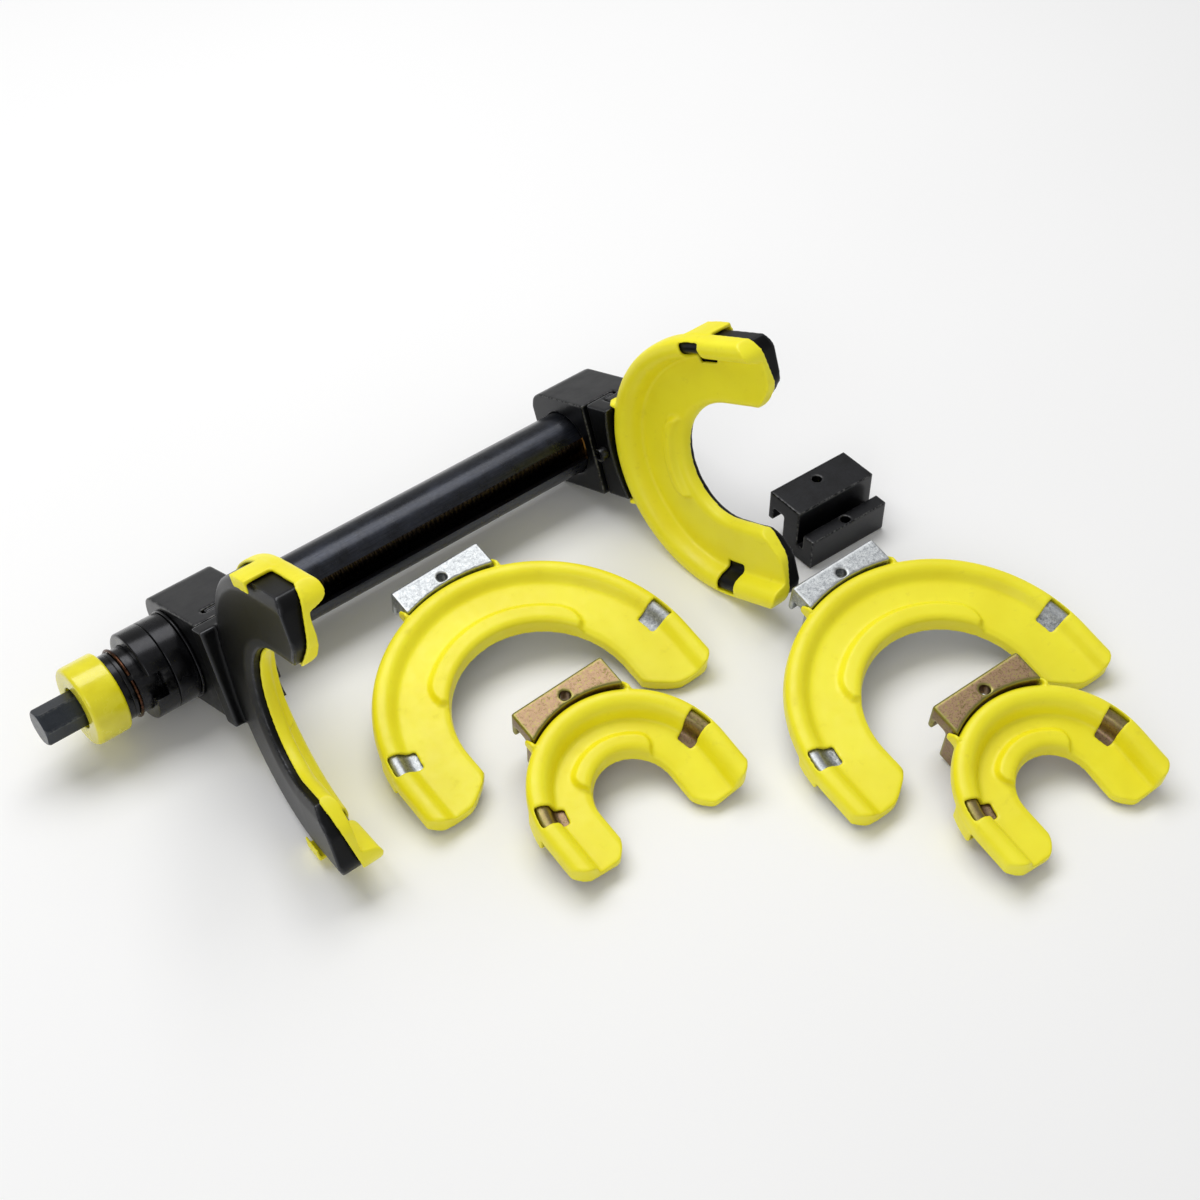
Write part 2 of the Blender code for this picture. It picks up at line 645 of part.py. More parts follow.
def cover_mesh(name, size):
    line = cover_line(size)
    under_line = offset_line(line, GAP)
    over_line = offset_line(line, GAP + COVER_T)
    rim, seat, under = levels(size)
    base = min(line[0][1], line[-1][1]) - 1.5 * MM
    count = len(line)

    def row(station, points, past=0.0, up=0.0):
        out = []
        for i, (rho, n) in enumerate(points):
            lift = up if i in (RIDGE_FROM, RIDGE_FROM + 1, RIDGE_FROM + 2) else 0.0
            p = jaw_point(size, station, rho, n + lift)
            out.append(Vector((p.x + past, p.y, p.z)))
        return out

    stations = jaw_stations()
    tips = (stations[0], stations[-1])
    inner = [row(s, under_line, TIP_GAP if s in tips else 0.0) for s in stations]
    outer = [row(s, over_line, TIP_GAP if s in tips else 0.0, ridge(size, s)) for s in stations]
    ends = []
    for s in tips:
        feet = []
        for points, past in ((under_line, TIP_GAP), (over_line, TIP_GAP + COVER_T)):
            first, last = points[0][0], points[-1][0]
            foot = [(first + (last - first) * i / (count - 1), base) for i in range(count)]
            feet.append(row(s, foot, past))
        ends.append((row(s, over_line, TIP_GAP + COVER_T), feet[0], feet[1]))
    cover = shell(name, inner, outer, ends)
    # windows over rim and seat, with the strap left outside them and a tab that hooks under
    ro = size["ro"]
    first, last = size["window"]
    opening = [(ro - 19.0 * MM, -0.06), (ro + 0.15 * MM, -0.06), (ro + 0.15 * MM, 0.02), (ro - 19.0 * MM, 0.02)]
    hook = [(ro + 0.6 * MM, rim - 8.0 * MM), (ro + COVER_T + 0.8 * MM, rim - 8.0 * MM),
            (ro + COVER_T + 0.8 * MM, under - 2.2 * MM), (ro - 5.0 * MM, under - 2.2 * MM),
            (ro - 5.0 * MM, under - 0.5 * MM), (ro + 0.6 * MM, under - 0.5 * MM)]
    for side in (1, -1):
        window = arm_piece("window", size, side, (first, last), opening)
        tab = arm_piece("tab", size, side, (first - 2.0 * MM, last + 2.0 * MM), hook)
        cover = join(cut(cover, window), tab)
    # ears that grip the sides of the block
    half = BLOCK_W / 2
    for side in (1, -1):
        a = math.asin((half + 2.2 * MM) / (ro + COVER_T))
        u0 = -(ro + COVER_T + GAP) * math.cos(a)
        lift = size["helix"] * side * a - size["lean"] * (u0 + ro)
        lo, hi = side * (half + 0.8 * MM), side * (half + 3.0 * MM)
        ear = box("ear", (u0 - 6.0 * MM, min(lo, hi), rim - 9.0 * MM + lift),
                  (u0 + 1.5 * MM, max(lo, hi), rim + 2.0 * MM + lift))
        cover = join(cover, ear)
    return cover


def screw_mesh(name):
    """Socket-head screw along z, head above the block's top face."""
    head, shank = 5.0 * MM, 3.2 * MM
    rings = []
    for z, r in ((0.3 * MM, shank), (-22.0 * MM, shank), (-22.6 * MM, shank - 0.6 * MM)):
        rings.append([Vector((r * math.cos(2 * math.pi * i / 20), r * math.sin(2 * math.pi * i / 20), z))
                      for i in range(20)])
    body = loft(name, rings)
    cap = []
    for z, r in ((0.28 * MM, head), (5.6 * MM, head), (6.3 * MM, head - 0.7 * MM)):
        cap.append([Vector((r * math.cos(2 * math.pi * i / 20), r * math.sin(2 * math.pi * i / 20), z))
                    for i in range(20)])
    socket = cylinder("socket", 2.9 * MM, 3.0 * MM, 0.01, "z", steps=6)
    return cut(join(body, loft("head", cap)), socket)


PLATES = {key: plate_mesh("plate_" + key, size) for key, size in JAW_SIZES.items()}
COVERS = {key: cover_mesh("cover_" + key, size) for key, size in JAW_SIZES.items()}


def axes(x_axis, y_axis, z_axis, at):
    m = Matrix.Identity(4)
    for col, v in enumerate((x_axis, y_axis, z_axis, at)):
        for row in range(3):
            m[row][col] = v[row]
    return m


def place_jaw(prefix, size_key, matrix, plate_mat, shared=None):
    plate = PLATES[size_key].copy()
    plate.name = prefix + "_plate"
    cover = COVERS[size_key].copy()
    cover.name = prefix + "_cover"
    new_object(prefix + "_plate", plate, plate_mat, matrix)
    new_object(prefix + "_cover", cover, YELLOW_PLASTIC, matrix)


SIZE_M = JAW_SIZES["medium"]
CENTRE_U = WALL_U + (SLOT_T - LIP_T - HOOK_GAP) - hook_u(SIZE_M)
FIXED_TOP = FIXED_X + FIXED_BASE + RAIL_H + GAP + ROOF_T
TRAVEL_TOP = TRAVEL_X + CARRIER_LEN - TRAVEL_BASE - RAIL_H - GAP - ROOF_T
FIXED_JAW = TOOL @ axes((0, 0, 1), (0, -1, 0), (1, 0, 0), (FIXED_TOP, 0, CENTRE_U))
TRAVEL_JAW = TOOL @ axes((0, 0, 1), (0, 1, 0), (-1, 0, 0), (TRAVEL_TOP, 0, CENTRE_U))
place_jaw("fixed_jaw", "medium", FIXED_JAW, FORGED_BLACK)
place_jaw("travelling_jaw", "medium", TRAVEL_JAW, FORGED_BLACK)

SCREW_U = hook_u(SIZE_M) + LIP_T + HOOK_GAP + RAIL_T / 2
for side_name, frame in (("fixed", FIXED_JAW), ("travelling", TRAVEL_JAW)):
    new_object(side_name + "_jaw_lock_screw", screw_mesh(side_name + "_screw"), BLACK_STEEL,
               frame @ Matrix.Translation((SCREW_U, 0, 0)))

for label, (size_key, px, py, pz, heading, pitch, roll) in LOOSE.items():
    spot = (Matrix.Translation((px, py, pz))
            @ Matrix.Rotation(math.radians(heading), 4, "Z")
            @ Matrix.Rotation(math.radians(pitch), 4, "Y")
            @ Matrix.Rotation(math.radians(roll), 4, "X"))
    place_jaw(label, size_key, spot, ZINC if size_key == "large" else GOLD_ZINC)


# ================================================================ adapter block
def adapter_mesh():
    """Hook on one side, rail on the other; drawn with its lip at y = 0 and its foot at z = 0."""
    wall = 30.9 * MM
    foot = BLOCK_H
    back = LIP_T + RAIL_T + 2 * HOOK_GAP
    rail0 = wall + SLOT_T
    rail1 = rail0 + RAIL_T
    rail_top = 12.0 * MM + RAIL_H
    c = 0.5 * MM
    outline = [(0.0, foot - c), (c, foot), (wall - c, foot), (wall, foot - c), (wall, 12.0 * MM),
               (rail0, 12.0 * MM), (rail0, rail_top - c), (rail0 + c, rail_top), (rail1 - c, rail_top),
               (rail1, rail_top - c), (rail1, c), (rail1 - c, 0.0), (back + c, 0.0), (back, c),
               (back, foot - ROOF_T), (LIP_T, foot - ROOF_T), (LIP_T, foot - LIP_LEN),
               (0.0, foot - LIP_LEN)]
    body = extruded("adapter_block", outline, -BLOCK_W / 2, BLOCK_W / 2, "y")
    top_hole = cylinder("hole", SCREW_HOLE_R, foot - ROOF_T - 5.0 * MM, foot + 0.01, "z",
                        at=(LIP_T + HOOK_GAP + RAIL_T / 2, 0.0), steps=16)
    rail_hole = cylinder("hole", SCREW_HOLE_R, rail_top - 11.0 * MM, rail_top + 0.01, "z",
                         at=(rail0 + RAIL_T / 2, 0.0), steps=16)
    return cut(body, top_hole, rail_hole)


ax, ay, adapter_heading = ADAPTER_AT
new_object("adapter_block", adapter_mesh(), BLACK_STEEL,
           Matrix.Translation((ax, ay, 0)) @ Matrix.Rotation(math.radians(adapter_heading - 90.0), 4, "Z"))

# ================================================================ stand the kit over the origin
def kit_bounds():
    low, high = Vector((9.0, 9.0, 9.0)), Vector((-9.0, -9.0, -9.0))
    for obj in KIT.objects:
        for v in obj.data.vertices:
            p = obj.matrix_world @ v.co
            low = Vector(map(min, low, p))
            high = Vector(map(max, high, p))
    return low, high


bpy.context.view_layer.update()
low, high = kit_bounds()
KIT_SHIFT = Vector((-(low.x + high.x) / 2, -(low.y + high.y) / 2, -low.z))
for obj in KIT.objects:
    obj.matrix_world = Matrix.Translation(KIT_SHIFT) @ obj.matrix_world
bpy.context.view_layer.update()
print("kit moved by", [round(c * 1000, 3) for c in KIT_SHIFT], "mm")
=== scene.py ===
# %% [markdown]
# # A coil spring compressor kit
#
# Garages use this tool to squeeze a car's coil spring so that the strut can be taken apart.
# A threaded spindle inside a slotted tube pulls one C-shaped jaw towards another.
# Yellow plastic covers keep the spring's paint from being scratched.
#
# Lengths are typed in millimetres and multiplied by MM, because Blender works in metres.

# %% Start
import math

import bmesh
import bpy
from mathutils import Matrix, Vector


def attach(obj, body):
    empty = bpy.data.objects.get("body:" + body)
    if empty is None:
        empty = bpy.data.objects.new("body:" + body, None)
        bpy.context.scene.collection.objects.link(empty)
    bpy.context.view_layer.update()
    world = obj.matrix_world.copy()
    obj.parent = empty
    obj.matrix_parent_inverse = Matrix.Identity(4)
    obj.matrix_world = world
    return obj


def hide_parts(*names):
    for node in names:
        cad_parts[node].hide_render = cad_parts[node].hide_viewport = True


MM = 0.001
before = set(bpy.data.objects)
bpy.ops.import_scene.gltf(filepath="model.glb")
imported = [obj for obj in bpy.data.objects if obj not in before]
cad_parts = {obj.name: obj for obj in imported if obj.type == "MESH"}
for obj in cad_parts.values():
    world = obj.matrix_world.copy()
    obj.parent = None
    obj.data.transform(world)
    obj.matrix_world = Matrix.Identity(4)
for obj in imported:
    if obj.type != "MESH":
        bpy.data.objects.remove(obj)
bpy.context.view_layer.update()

# %% [markdown]
# ## Where everything lies
#
# The tool lies along X. Its own frame has x along the tube and z towards the jaw side, so
# pieces can be drawn straight and then turned into place.
# It rests on the backs of its blocks and on the two lower jaw tips, which is why it is rolled.
#
# Resting places are in metres and turns in degrees. A loose jaw has its kind, its place and
# its turns about Z, Y and X.

# %% Resting places
TOOL_ROLL = 21.32
KIT_SHIFT = Vector((0.0728133, 0.1082394, 0.0002599))
TOOL = (Matrix.Translation(KIT_SHIFT + Vector((-0.3694, 0.1092, 0.04072)))
        @ Matrix.Rotation(math.radians(90.0 - TOOL_ROLL), 4, "X"))
LOOSE_JAWS = {
    "large_jaw_1": ("large", -0.0999, -0.0687, 0.02305, -91.3, 11.06, 5.58),
    "large_jaw_2": ("large", 0.1054, -0.2397, 0.02305, -93.2, 11.06, 5.58),
    "small_jaw_1": ("small", -0.1053, -0.1615, 0.03477, -92.2, 9.92, 7.08),
    "small_jaw_2": ("small", 0.0991, -0.3298, 0.03477, -94.5, 9.92, 7.08),
}
ADAPTER = (Matrix.Translation(KIT_SHIFT + Vector((0.1721, -0.0277, 0.0)))
           @ Matrix.Rotation(math.radians(-92.5), 4, "Z"))
print("tool axis height:", round(TOOL.translation.z / MM, 1), "mm")

# %% [markdown]
# ## Making meshes
#
# Every piece starts as rings of points joined by a skin. A small set of tools is enough:
# one skins the rings, one spins a profile, one extrudes an outline, and one joins or cuts solids.

# %% Skinning rings
def mesh_from(bm, name):
    bmesh.ops.recalc_face_normals(bm, faces=bm.faces)
    mesh = bpy.data.meshes.new(name)
    bm.to_mesh(mesh)
    bm.free()
    return mesh


def loft(name, rings, closed=False):
    """Skin through rings of points, capped at both ends unless the path closes."""
    bm = bmesh.new()
    rows = [[bm.verts.new(p) for p in ring] for ring in rings]
    count = len(rows[0])
    pairs = list(zip(rows, rows[1:]))
    if closed:
        pairs.append((rows[-1], rows[0]))
    for a, b in pairs:
        for i in range(count):
            j = (i + 1) % count
            bm.faces.new((a[i], a[j], b[j], b[i]))
    if not closed:
        bm.faces.new(rows[0])
        bm.faces.new(list(reversed(rows[-1])))
    bm.normal_update()
    bmesh.ops.triangulate(bm, faces=[f for f in bm.faces if len(f.verts) > 4])
    return mesh_from(bm, name)


# %% [markdown]
# A turned piece is a flat profile spun round the tube's axis. Real turned edges are never
# sharp, so the profile's corners are rounded first, each by a few points on an arc.

# %% Turning
def rounded(profile, radius=0.5 * MM, steps=3):
    """Closed profile with its corners rounded off; short sides get a smaller radius."""
    out = []
    n = len(profile)
    for i in range(n):
        p = Vector(profile[i])
        a = Vector(profile[i - 1]) - p
        b = Vector(profile[(i + 1) % n]) - p
        r = min(radius, a.length * 0.4, b.length * 0.4)
        start, end = p + a.normalized() * r, p + b.normalized() * r
        for k in range(steps + 1):
            t = k / steps
            q = start * (1 - t) ** 2 + p * 2 * t * (1 - t) + end * t ** 2
            out.append((q.x, q.y))
    return out


def turned(name, profile, steps=144, radius=0.5 * MM):
    """Ring with a bore, from a closed profile of (x, radius) points."""
    line = rounded(profile, radius)
    rings = []
    for i in range(steps):
        a = 2 * math.pi * i / steps
        rings.append([Vector((x, r * math.cos(a), r * math.sin(a))) for x, r in line])
    return loft(name, rings, closed=True)


# %% [markdown]
# Blocks are sawn and milled from bar. Their outline is drawn flat and pushed out, then
# slots and holes are cut with a Boolean, as the milling cutter would.

# %% Milling
def extruded(name, outline, low, high, axis):
    """Outline pushed out along x or y; the outline gives the other two coordinates."""
    rings = []
    for at in (low, high):
        if axis == "x":
            rings.append([Vector((at, p, q)) for p, q in outline])
        else:
            rings.append([Vector((p, at, q)) for p, q in outline])
    return loft(name, rings)


def box(name, low, high):
    outline = [(low[1], low[2]), (high[1], low[2]), (high[1], high[2]), (low[1], high[2])]
    return extruded(name, outline, low[0], high[0], "x")


def rod(name, r, low, high, axis, at=(0.0, 0.0), steps=48):
    """Plain cylinder along x or z, used as a cutter or a shank."""
    rings = []
    for end in (low, high):
        ring = []
        for i in range(steps):
            a = 2 * math.pi * i / steps
            p, q = at[0] + r * math.cos(a), at[1] + r * math.sin(a)
            ring.append(Vector((end, p, q)) if axis == "x" else Vector((p, q, end)))
        rings.append(ring)
    return loft(name, rings)


def combine(mesh, other, operation):
    """One Boolean, baked at once."""
    host = bpy.data.objects.new("host", mesh)
    tool = bpy.data.objects.new("tool", other)
    for obj in (host, tool):
        bpy.context.scene.collection.objects.link(obj)
    mod = host.modifiers.new("step", "BOOLEAN")
    mod.operation = operation
    mod.solver = "MANIFOLD"
    mod.object = tool
    depsgraph = bpy.context.evaluated_depsgraph_get()
    result = bpy.data.meshes.new_from_object(host.evaluated_get(depsgraph))
    for obj in (host, tool):
        bpy.data.objects.remove(obj)
    return result


def cut(mesh, *cutters):
    for cutter in cutters:
        mesh = combine(mesh, cutter, "DIFFERENCE")
    return mesh


def join(mesh, *others):
    for other in others:
        mesh = combine(mesh, other, "UNION")
    return mesh


# %% [markdown]
# Moulded plastic and forged steel have no sharp edges at all. A voxel remesh rebuilds the
# solid as an even grid of small faces, and smoothing that grid rounds every edge alike, just
# as a mould or a forging die does. It also heals whatever the cuts left behind.

# %% Softening
def softened(mesh, voxel, rounds, strength=0.5):
    host = bpy.data.objects.new("host", mesh)
    bpy.context.scene.collection.objects.link(host)
    grid = host.modifiers.new("even grid", "REMESH")
    grid.mode = "VOXEL"
    grid.voxel_size = voxel
    soft = host.modifiers.new("soft edges", "SMOOTH")
    soft.factor = strength
    soft.iterations = rounds
    depsgraph = bpy.context.evaluated_depsgraph_get()
    result = bpy.data.meshes.new_from_object(host.evaluated_get(depsgraph))
    bpy.data.objects.remove(host)
    return result


# %% [markdown]
# A finished piece is put in place in its vertices, shaded smooth between sharp edges, given
# its finish, told which body carries it and which plain solids it stands for.

# %% Finishing a piece
PIECES = {}


def piece(name, mesh, matrix, body, finish, stands_for, sharp=35.0):
    mesh.transform(matrix)
    mesh.name = name
    obj = bpy.data.objects.new(name, mesh)
    bpy.context.scene.collection.objects.link(obj)
    mesh.polygons.foreach_set("use_smooth", [True] * len(mesh.polygons))
    if sharp:
        mesh.set_sharp_from_angle(angle=math.radians(sharp))
    mesh.materials.clear()
    mesh.materials.append(finish)
    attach(obj, body)
    if stands_for:
        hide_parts(*stands_for)
    PIECES[name] = obj
    print(f"{name}: {len(mesh.polygons)} faces on {body}")
    return obj


# %% [markdown]
# ## Finishes
#
# Colours are written as the hex values a paint chart would give and turned to linear light
# by one function. One more small function adds a node with its settings and links.

# %% Colour and nodes
def linear(hex_colour):
    out = []
    for i in (0, 2, 4):
        c = int(hex_colour[i:i + 2], 16) / 255
        out.append(c / 12.92 if c <= 0.04045 else ((c + 0.055) / 1.055) ** 2.4)
    return (*out, 1.0)


def node(tree, kind, settings=None, **inputs):
    """Adds a node. An input is named, or numbered as i0, and takes a value or an output."""
    made = tree.nodes.new(kind)
    for key, value in (settings or {}).items():
        setattr(made, key, value)
    for key, value in inputs.items():
        numbered = key[0] == "i" and key[1:].isdigit()
        socket = made.inputs[int(key[1:]) if numbered else key.replace("_", " ")]
        if isinstance(value, bpy.types.NodeSocket):
            tree.links.new(value, socket)
        else:
            socket.default_value = value
    return made


def new_finish(name):
    finish = bpy.data.materials.new(name)
    finish.use_nodes = True
    tree = finish.node_tree
    tree.nodes.clear()
    shader = node(tree, "ShaderNodeBsdfPrincipled")
    out = node(tree, "ShaderNodeOutputMaterial")
    tree.links.new(shader.outputs["BSDF"], out.inputs["Surface"])
    place = node(tree, "ShaderNodeTexCoord").outputs["Object"]
    return finish, tree, shader, place


def ramp(tree, factor, stops):
    """Colour ramp with (position, hex) stops."""
    made = node(tree, "ShaderNodeValToRGB", Fac=factor)
    bar = made.color_ramp.elements
    while len(bar) < len(stops):
        bar.new(0.5)
    for element, (at, hex_colour) in zip(bar, stops):
        element.position = at
        element.color = linear(hex_colour)
    return made.outputs["Color"]


def level(tree, value, low, high, to_low, to_high):
    made = node(tree, "ShaderNodeMapRange", Value=value, From_Min=low, From_Max=high,
                To_Min=to_low, To_Max=to_high)
    return made.outputs["Result"]


def per_mm(size):
    """Noise scale that gives features of about this many millimetres."""
    return 1.0 / (size * MM)


# %% [markdown]
# ### Moulded polyethylene covers
#
# The covers are injection moulded in a soft, slightly see-through plastic. That gives a
# bright lemon colour that glows a little where it is thin, a satin sheen, faint flow marks a
# few centimetres long and small handling smudges.

# %% Yellow moulded plastic
def moulded_yellow(name, light, deep, smudge):
    finish, tree, shader, place = new_finish(name)
    flow = node(tree, "ShaderNodeTexNoise", Vector=place, Scale=per_mm(45), Detail=3.0, Roughness=0.5)
    smear = node(tree, "ShaderNodeTexNoise", Vector=place, Scale=per_mm(9), Detail=6.0, Roughness=0.65)
    base = ramp(tree, flow.outputs["Fac"], [(0.3, deep), (0.62, light)])
    marks = level(tree, smear.outputs["Fac"], 0.60, 0.78, 0.0, 0.30)
    mixed = node(tree, "ShaderNodeMix", {"data_type": "RGBA"}, i0=marks, i6=base, i7=linear(smudge))
    tree.links.new(mixed.outputs[2], shader.inputs["Base Color"])
    tree.links.new(level(tree, smear.outputs["Fac"], 0.3, 0.75, 0.34, 0.52), shader.inputs["Roughness"])
    grain = node(tree, "ShaderNodeTexNoise", Vector=place, Scale=per_mm(0.7), Detail=2.0)
    wave = node(tree, "ShaderNodeTexNoise", Vector=place, Scale=per_mm(14), Detail=2.0)
    first = node(tree, "ShaderNodeBump", Height=wave.outputs["Fac"], Strength=0.25, Distance=0.5 * MM)
    last = node(tree, "ShaderNodeBump", Height=grain.outputs["Fac"], Strength=0.08, Distance=0.08 * MM,
                Normal=first.outputs["Normal"])
    tree.links.new(last.outputs["Normal"], shader.inputs["Normal"])
    shader.inputs["IOR"].default_value = 1.51
    shader.inputs["Subsurface Weight"].default_value = 0.12
    shader.inputs["Subsurface Radius"].default_value = (3.0 * MM, 2.4 * MM, 0.6 * MM)
    shader.inputs["Subsurface Scale"].default_value = 1.0
    return finish


COVER_PLASTIC = moulded_yellow("polyethylene_moulded_yellow", "F8EE24", "F0E312", "C4B51E")
print("finish:", COVER_PLASTIC.name)

# %% [markdown]
# ### Enamelled drive ring
#
# The ring on the hex is steel with a thick gloss enamel. Its highlights are sharper than the
# plastic's, with a faint orange peel from spraying.

# %% Yellow enamel
def sprayed_enamel():
    finish, tree, shader, place = new_finish("enamel_sprayed_yellow")
    cloud = node(tree, "ShaderNodeTexNoise", Vector=place, Scale=per_mm(12), Detail=4.0)
    tree.links.new(ramp(tree, cloud.outputs["Fac"], [(0.35, "E4D80C"), (0.65, "EEE41C")]),
                   shader.inputs["Base Color"])
    peel = node(tree, "ShaderNodeTexNoise", Vector=place, Scale=per_mm(1.4), Detail=1.0)
    bump = node(tree, "ShaderNodeBump", Height=peel.outputs["Fac"], Strength=0.12, Distance=0.1 * MM)
    tree.links.new(bump.outputs["Normal"], shader.inputs["Normal"])
    tree.links.new(level(tree, cloud.outputs["Fac"], 0.3, 0.7, 0.2, 0.3), shader.inputs["Roughness"])
    shader.inputs["IOR"].default_value = 1.5
    shader.inputs["Coat Weight"].default_value = 0.4
    shader.inputs["Coat Roughness"].default_value = 0.12
    return finish


RING_ENAMEL = sprayed_enamel()
print("finish:", RING_ENAMEL.name)

# %% [markdown]
# ### Black oxide steel
#
# Tube, collar and blocks are blackened in a hot salt bath and oiled. The film is thin, so
# the metal's drawing or milling lines still show, and sharp edges wear back to bright steel.
# On the tube the lighter streaks are bluish: they are partly drawing lines and partly a painted sheen.

# %% Black oxide
def black_oxide(name, dark, light, stretch, wear, rough, metallic=0.85, streak=0.6):
    """stretch shrinks the pattern along one axis, so that it draws out into streaks."""
    finish, tree, shader, place = new_finish(name)
    drawn = node(tree, "ShaderNodeVectorMath", {"operation": "MULTIPLY"}, i0=place, i1=stretch)
    lines = node(tree, "ShaderNodeTexNoise", Vector=drawn.outputs["Vector"], Scale=per_mm(streak),
                 Detail=4.0, Roughness=0.6)
    cloud = node(tree, "ShaderNodeTexNoise", Vector=place, Scale=per_mm(16), Detail=5.0, Roughness=0.6)
    blend = node(tree, "ShaderNodeMath", {"operation": "MULTIPLY"}, i0=lines.outputs["Fac"],
                 i1=cloud.outputs["Fac"])
    base = ramp(tree, blend.outputs["Value"], [(0.12, dark), (0.42, light)])
    turn = node(tree, "ShaderNodeNewGeometry").outputs["Pointiness"]
    chips = node(tree, "ShaderNodeTexNoise", Vector=place, Scale=per_mm(2.5), Detail=5.0)
    edge = level(tree, turn, 0.512, 0.55, 0.0, 1.0)
    broken = node(tree, "ShaderNodeMath", {"operation": "MULTIPLY"}, i0=edge,
                  i1=level(tree, chips.outputs["Fac"], 0.42, 0.62, 0.0, wear))
    mixed = node(tree, "ShaderNodeMix", {"data_type": "RGBA"}, i0=broken.outputs["Value"], i6=base,
                 i7=linear("8E8E8C"))
    tree.links.new(mixed.outputs[2], shader.inputs["Base Color"])
    tree.links.new(level(tree, cloud.outputs["Fac"], 0.3, 0.7, rough - 0.07, rough + 0.09),
                   shader.inputs["Roughness"])
    bump = node(tree, "ShaderNodeBump", Height=lines.outputs["Fac"], Strength=0.10, Distance=0.05 * MM)
    tree.links.new(bump.outputs["Normal"], shader.inputs["Normal"])
    shader.inputs["Metallic"].default_value = metallic
    shader.inputs["Coat Weight"].default_value = 0.35
    shader.inputs["Coat Roughness"].default_value = 0.22
    return finish


# tube: the bluish light colour 2B2F3A is partly drawing lines and partly a painted sheen
TUBE_BLACK = black_oxide("steel_tube_black_oxide", "111319", "2B2F3A", (0.04, 1.0, 1.0), 0.3, 0.30)
BLOCK_BLACK = black_oxide("steel_block_milled_black_oxide", "0A0B0D", "202125", (0.08, 1.0, 1.0), 0.4, 0.40)
RING_BLACK = black_oxide("steel_turned_black_oxide", "09090C", "191A1F", (3.0, 0.2, 0.2), 0.12, 0.25)
HEX_STEEL = black_oxide("steel_hex_dark_oxide", "2A2E35", "3C4149", (2.4, 0.6, 0.6), 0.2, 0.42)
print("black finishes:", TUBE_BLACK.name, BLOCK_BLACK.name, RING_BLACK.name)

# %% [markdown]
# ### Forged black jaws
#
# The jaws on the tool are drop forged, shot blasted and blackened. Blasting leaves a fine
# even grain, drawn here at about a millimetre so that it shows. The rounded edges carry a
# painted sheen: their colour is mixed towards a lighter grey, and their roughness is lower.

# %% Forged black
def forged_black():
    finish, tree, shader, place = new_finish("steel_forged_blasted_black")
    grain = node(tree, "ShaderNodeTexNoise", Vector=place, Scale=per_mm(0.9), Detail=3.0, Roughness=0.6)
    pits = node(tree, "ShaderNodeTexVoronoi", Vector=place, Scale=per_mm(2.2))
    cloud = node(tree, "ShaderNodeTexNoise", Vector=place, Scale=per_mm(22), Detail=5.0)
    base = ramp(tree, cloud.outputs["Fac"], [(0.3, "0A0A0B"), (0.7, "17181A")])
    turn = node(tree, "ShaderNodeNewGeometry").outputs["Pointiness"]
    # painted sheen: the rounded edges are mixed towards the lighter grey 5A5B5E
    edge = level(tree, turn, 0.508, 0.54, 0.0, 0.45)
    mixed = node(tree, "ShaderNodeMix", {"data_type": "RGBA"}, i0=edge, i6=base, i7=linear("5A5B5E"))
    tree.links.new(mixed.outputs[2], shader.inputs["Base Color"])
    fine = node(tree, "ShaderNodeBump", Height=grain.outputs["Fac"], Strength=0.32, Distance=0.12 * MM)
    deep = node(tree, "ShaderNodeBump", Height=pits.outputs["Distance"], Strength=0.10, Distance=0.1 * MM,
                Normal=fine.outputs["Normal"])
    tree.links.new(deep.outputs["Normal"], shader.inputs["Normal"])
    tree.links.new(level(tree, turn, 0.50, 0.54, 0.38, 0.24), shader.inputs["Roughness"])
    shader.inputs["Metallic"].default_value = 0.7
    return finish


FORGED_BLACK = forged_black()
print("finish:", FORGED_BLACK.name)

# %% [markdown]
# ### Zinc plate
#
# The spare jaws are zinc plated. Clear zinc is silvery and slightly patchy. Yellow
# passivated zinc carries a thin oxide whose thickness varies, so it drifts between pink,
# gold and green. Both show the blasted skin of the forging under the plate.

# %% Zinc plate
def zinc_plate(name, stops, rough):
    finish, tree, shader, place = new_finish(name)
    patch = node(tree, "ShaderNodeTexNoise", Vector=place, Scale=per_mm(2.5), Detail=8.0, Roughness=0.7,
                 Distortion=0.6)
    speck = node(tree, "ShaderNodeTexNoise", Vector=place, Scale=per_mm(1.0), Detail=3.0, Roughness=0.7)
    both = node(tree, "ShaderNodeMix", {"data_type": "FLOAT"}, i0=0.45, i2=patch.outputs["Fac"],
                i3=speck.outputs["Fac"])
    base = ramp(tree, both.outputs[0], stops)
    turn = node(tree, "ShaderNodeNewGeometry").outputs["Pointiness"]
    edge = level(tree, turn, 0.504, 0.525, 0.0, 0.8)
    mixed = node(tree, "ShaderNodeMix", {"data_type": "RGBA"}, i0=edge, i6=base, i7=linear(stops[-1][1]))
    tree.links.new(mixed.outputs[2], shader.inputs["Base Color"])
    tree.links.new(level(tree, speck.outputs["Fac"], 0.3, 0.7, rough - 0.12, rough + 0.12),
                   shader.inputs["Roughness"])
    bump = node(tree, "ShaderNodeBump", Height=speck.outputs["Fac"], Strength=0.28, Distance=0.12 * MM)
    tree.links.new(bump.outputs["Normal"], shader.inputs["Normal"])
    shader.inputs["Metallic"].default_value = 1.0
    return finish


CLEAR_ZINC = zinc_plate("zinc_plate_clear", [(0.40, "7C7F82"), (0.50, "A0A3A5"), (0.60, "BFC2C3")], 0.42)
YELLOW_ZINC = zinc_plate("zinc_plate_yellow_passivated",
                         [(0.38, "5C5C30"), (0.44, "7E6B48"), (0.50, "967869"), (0.55, "93805A"),
                          (0.62, "96944C")], 0.40)
print("finish:", CLEAR_ZINC.name, YELLOW_ZINC.name)

# %% [markdown]
# ### Small bright parts
#
# The spring ring on the drive sleeve is tempered wire, brown from its heat treatment. The
# nut is cast bronze, the spindle thread is oiled steel, and the bearing's races are ground.

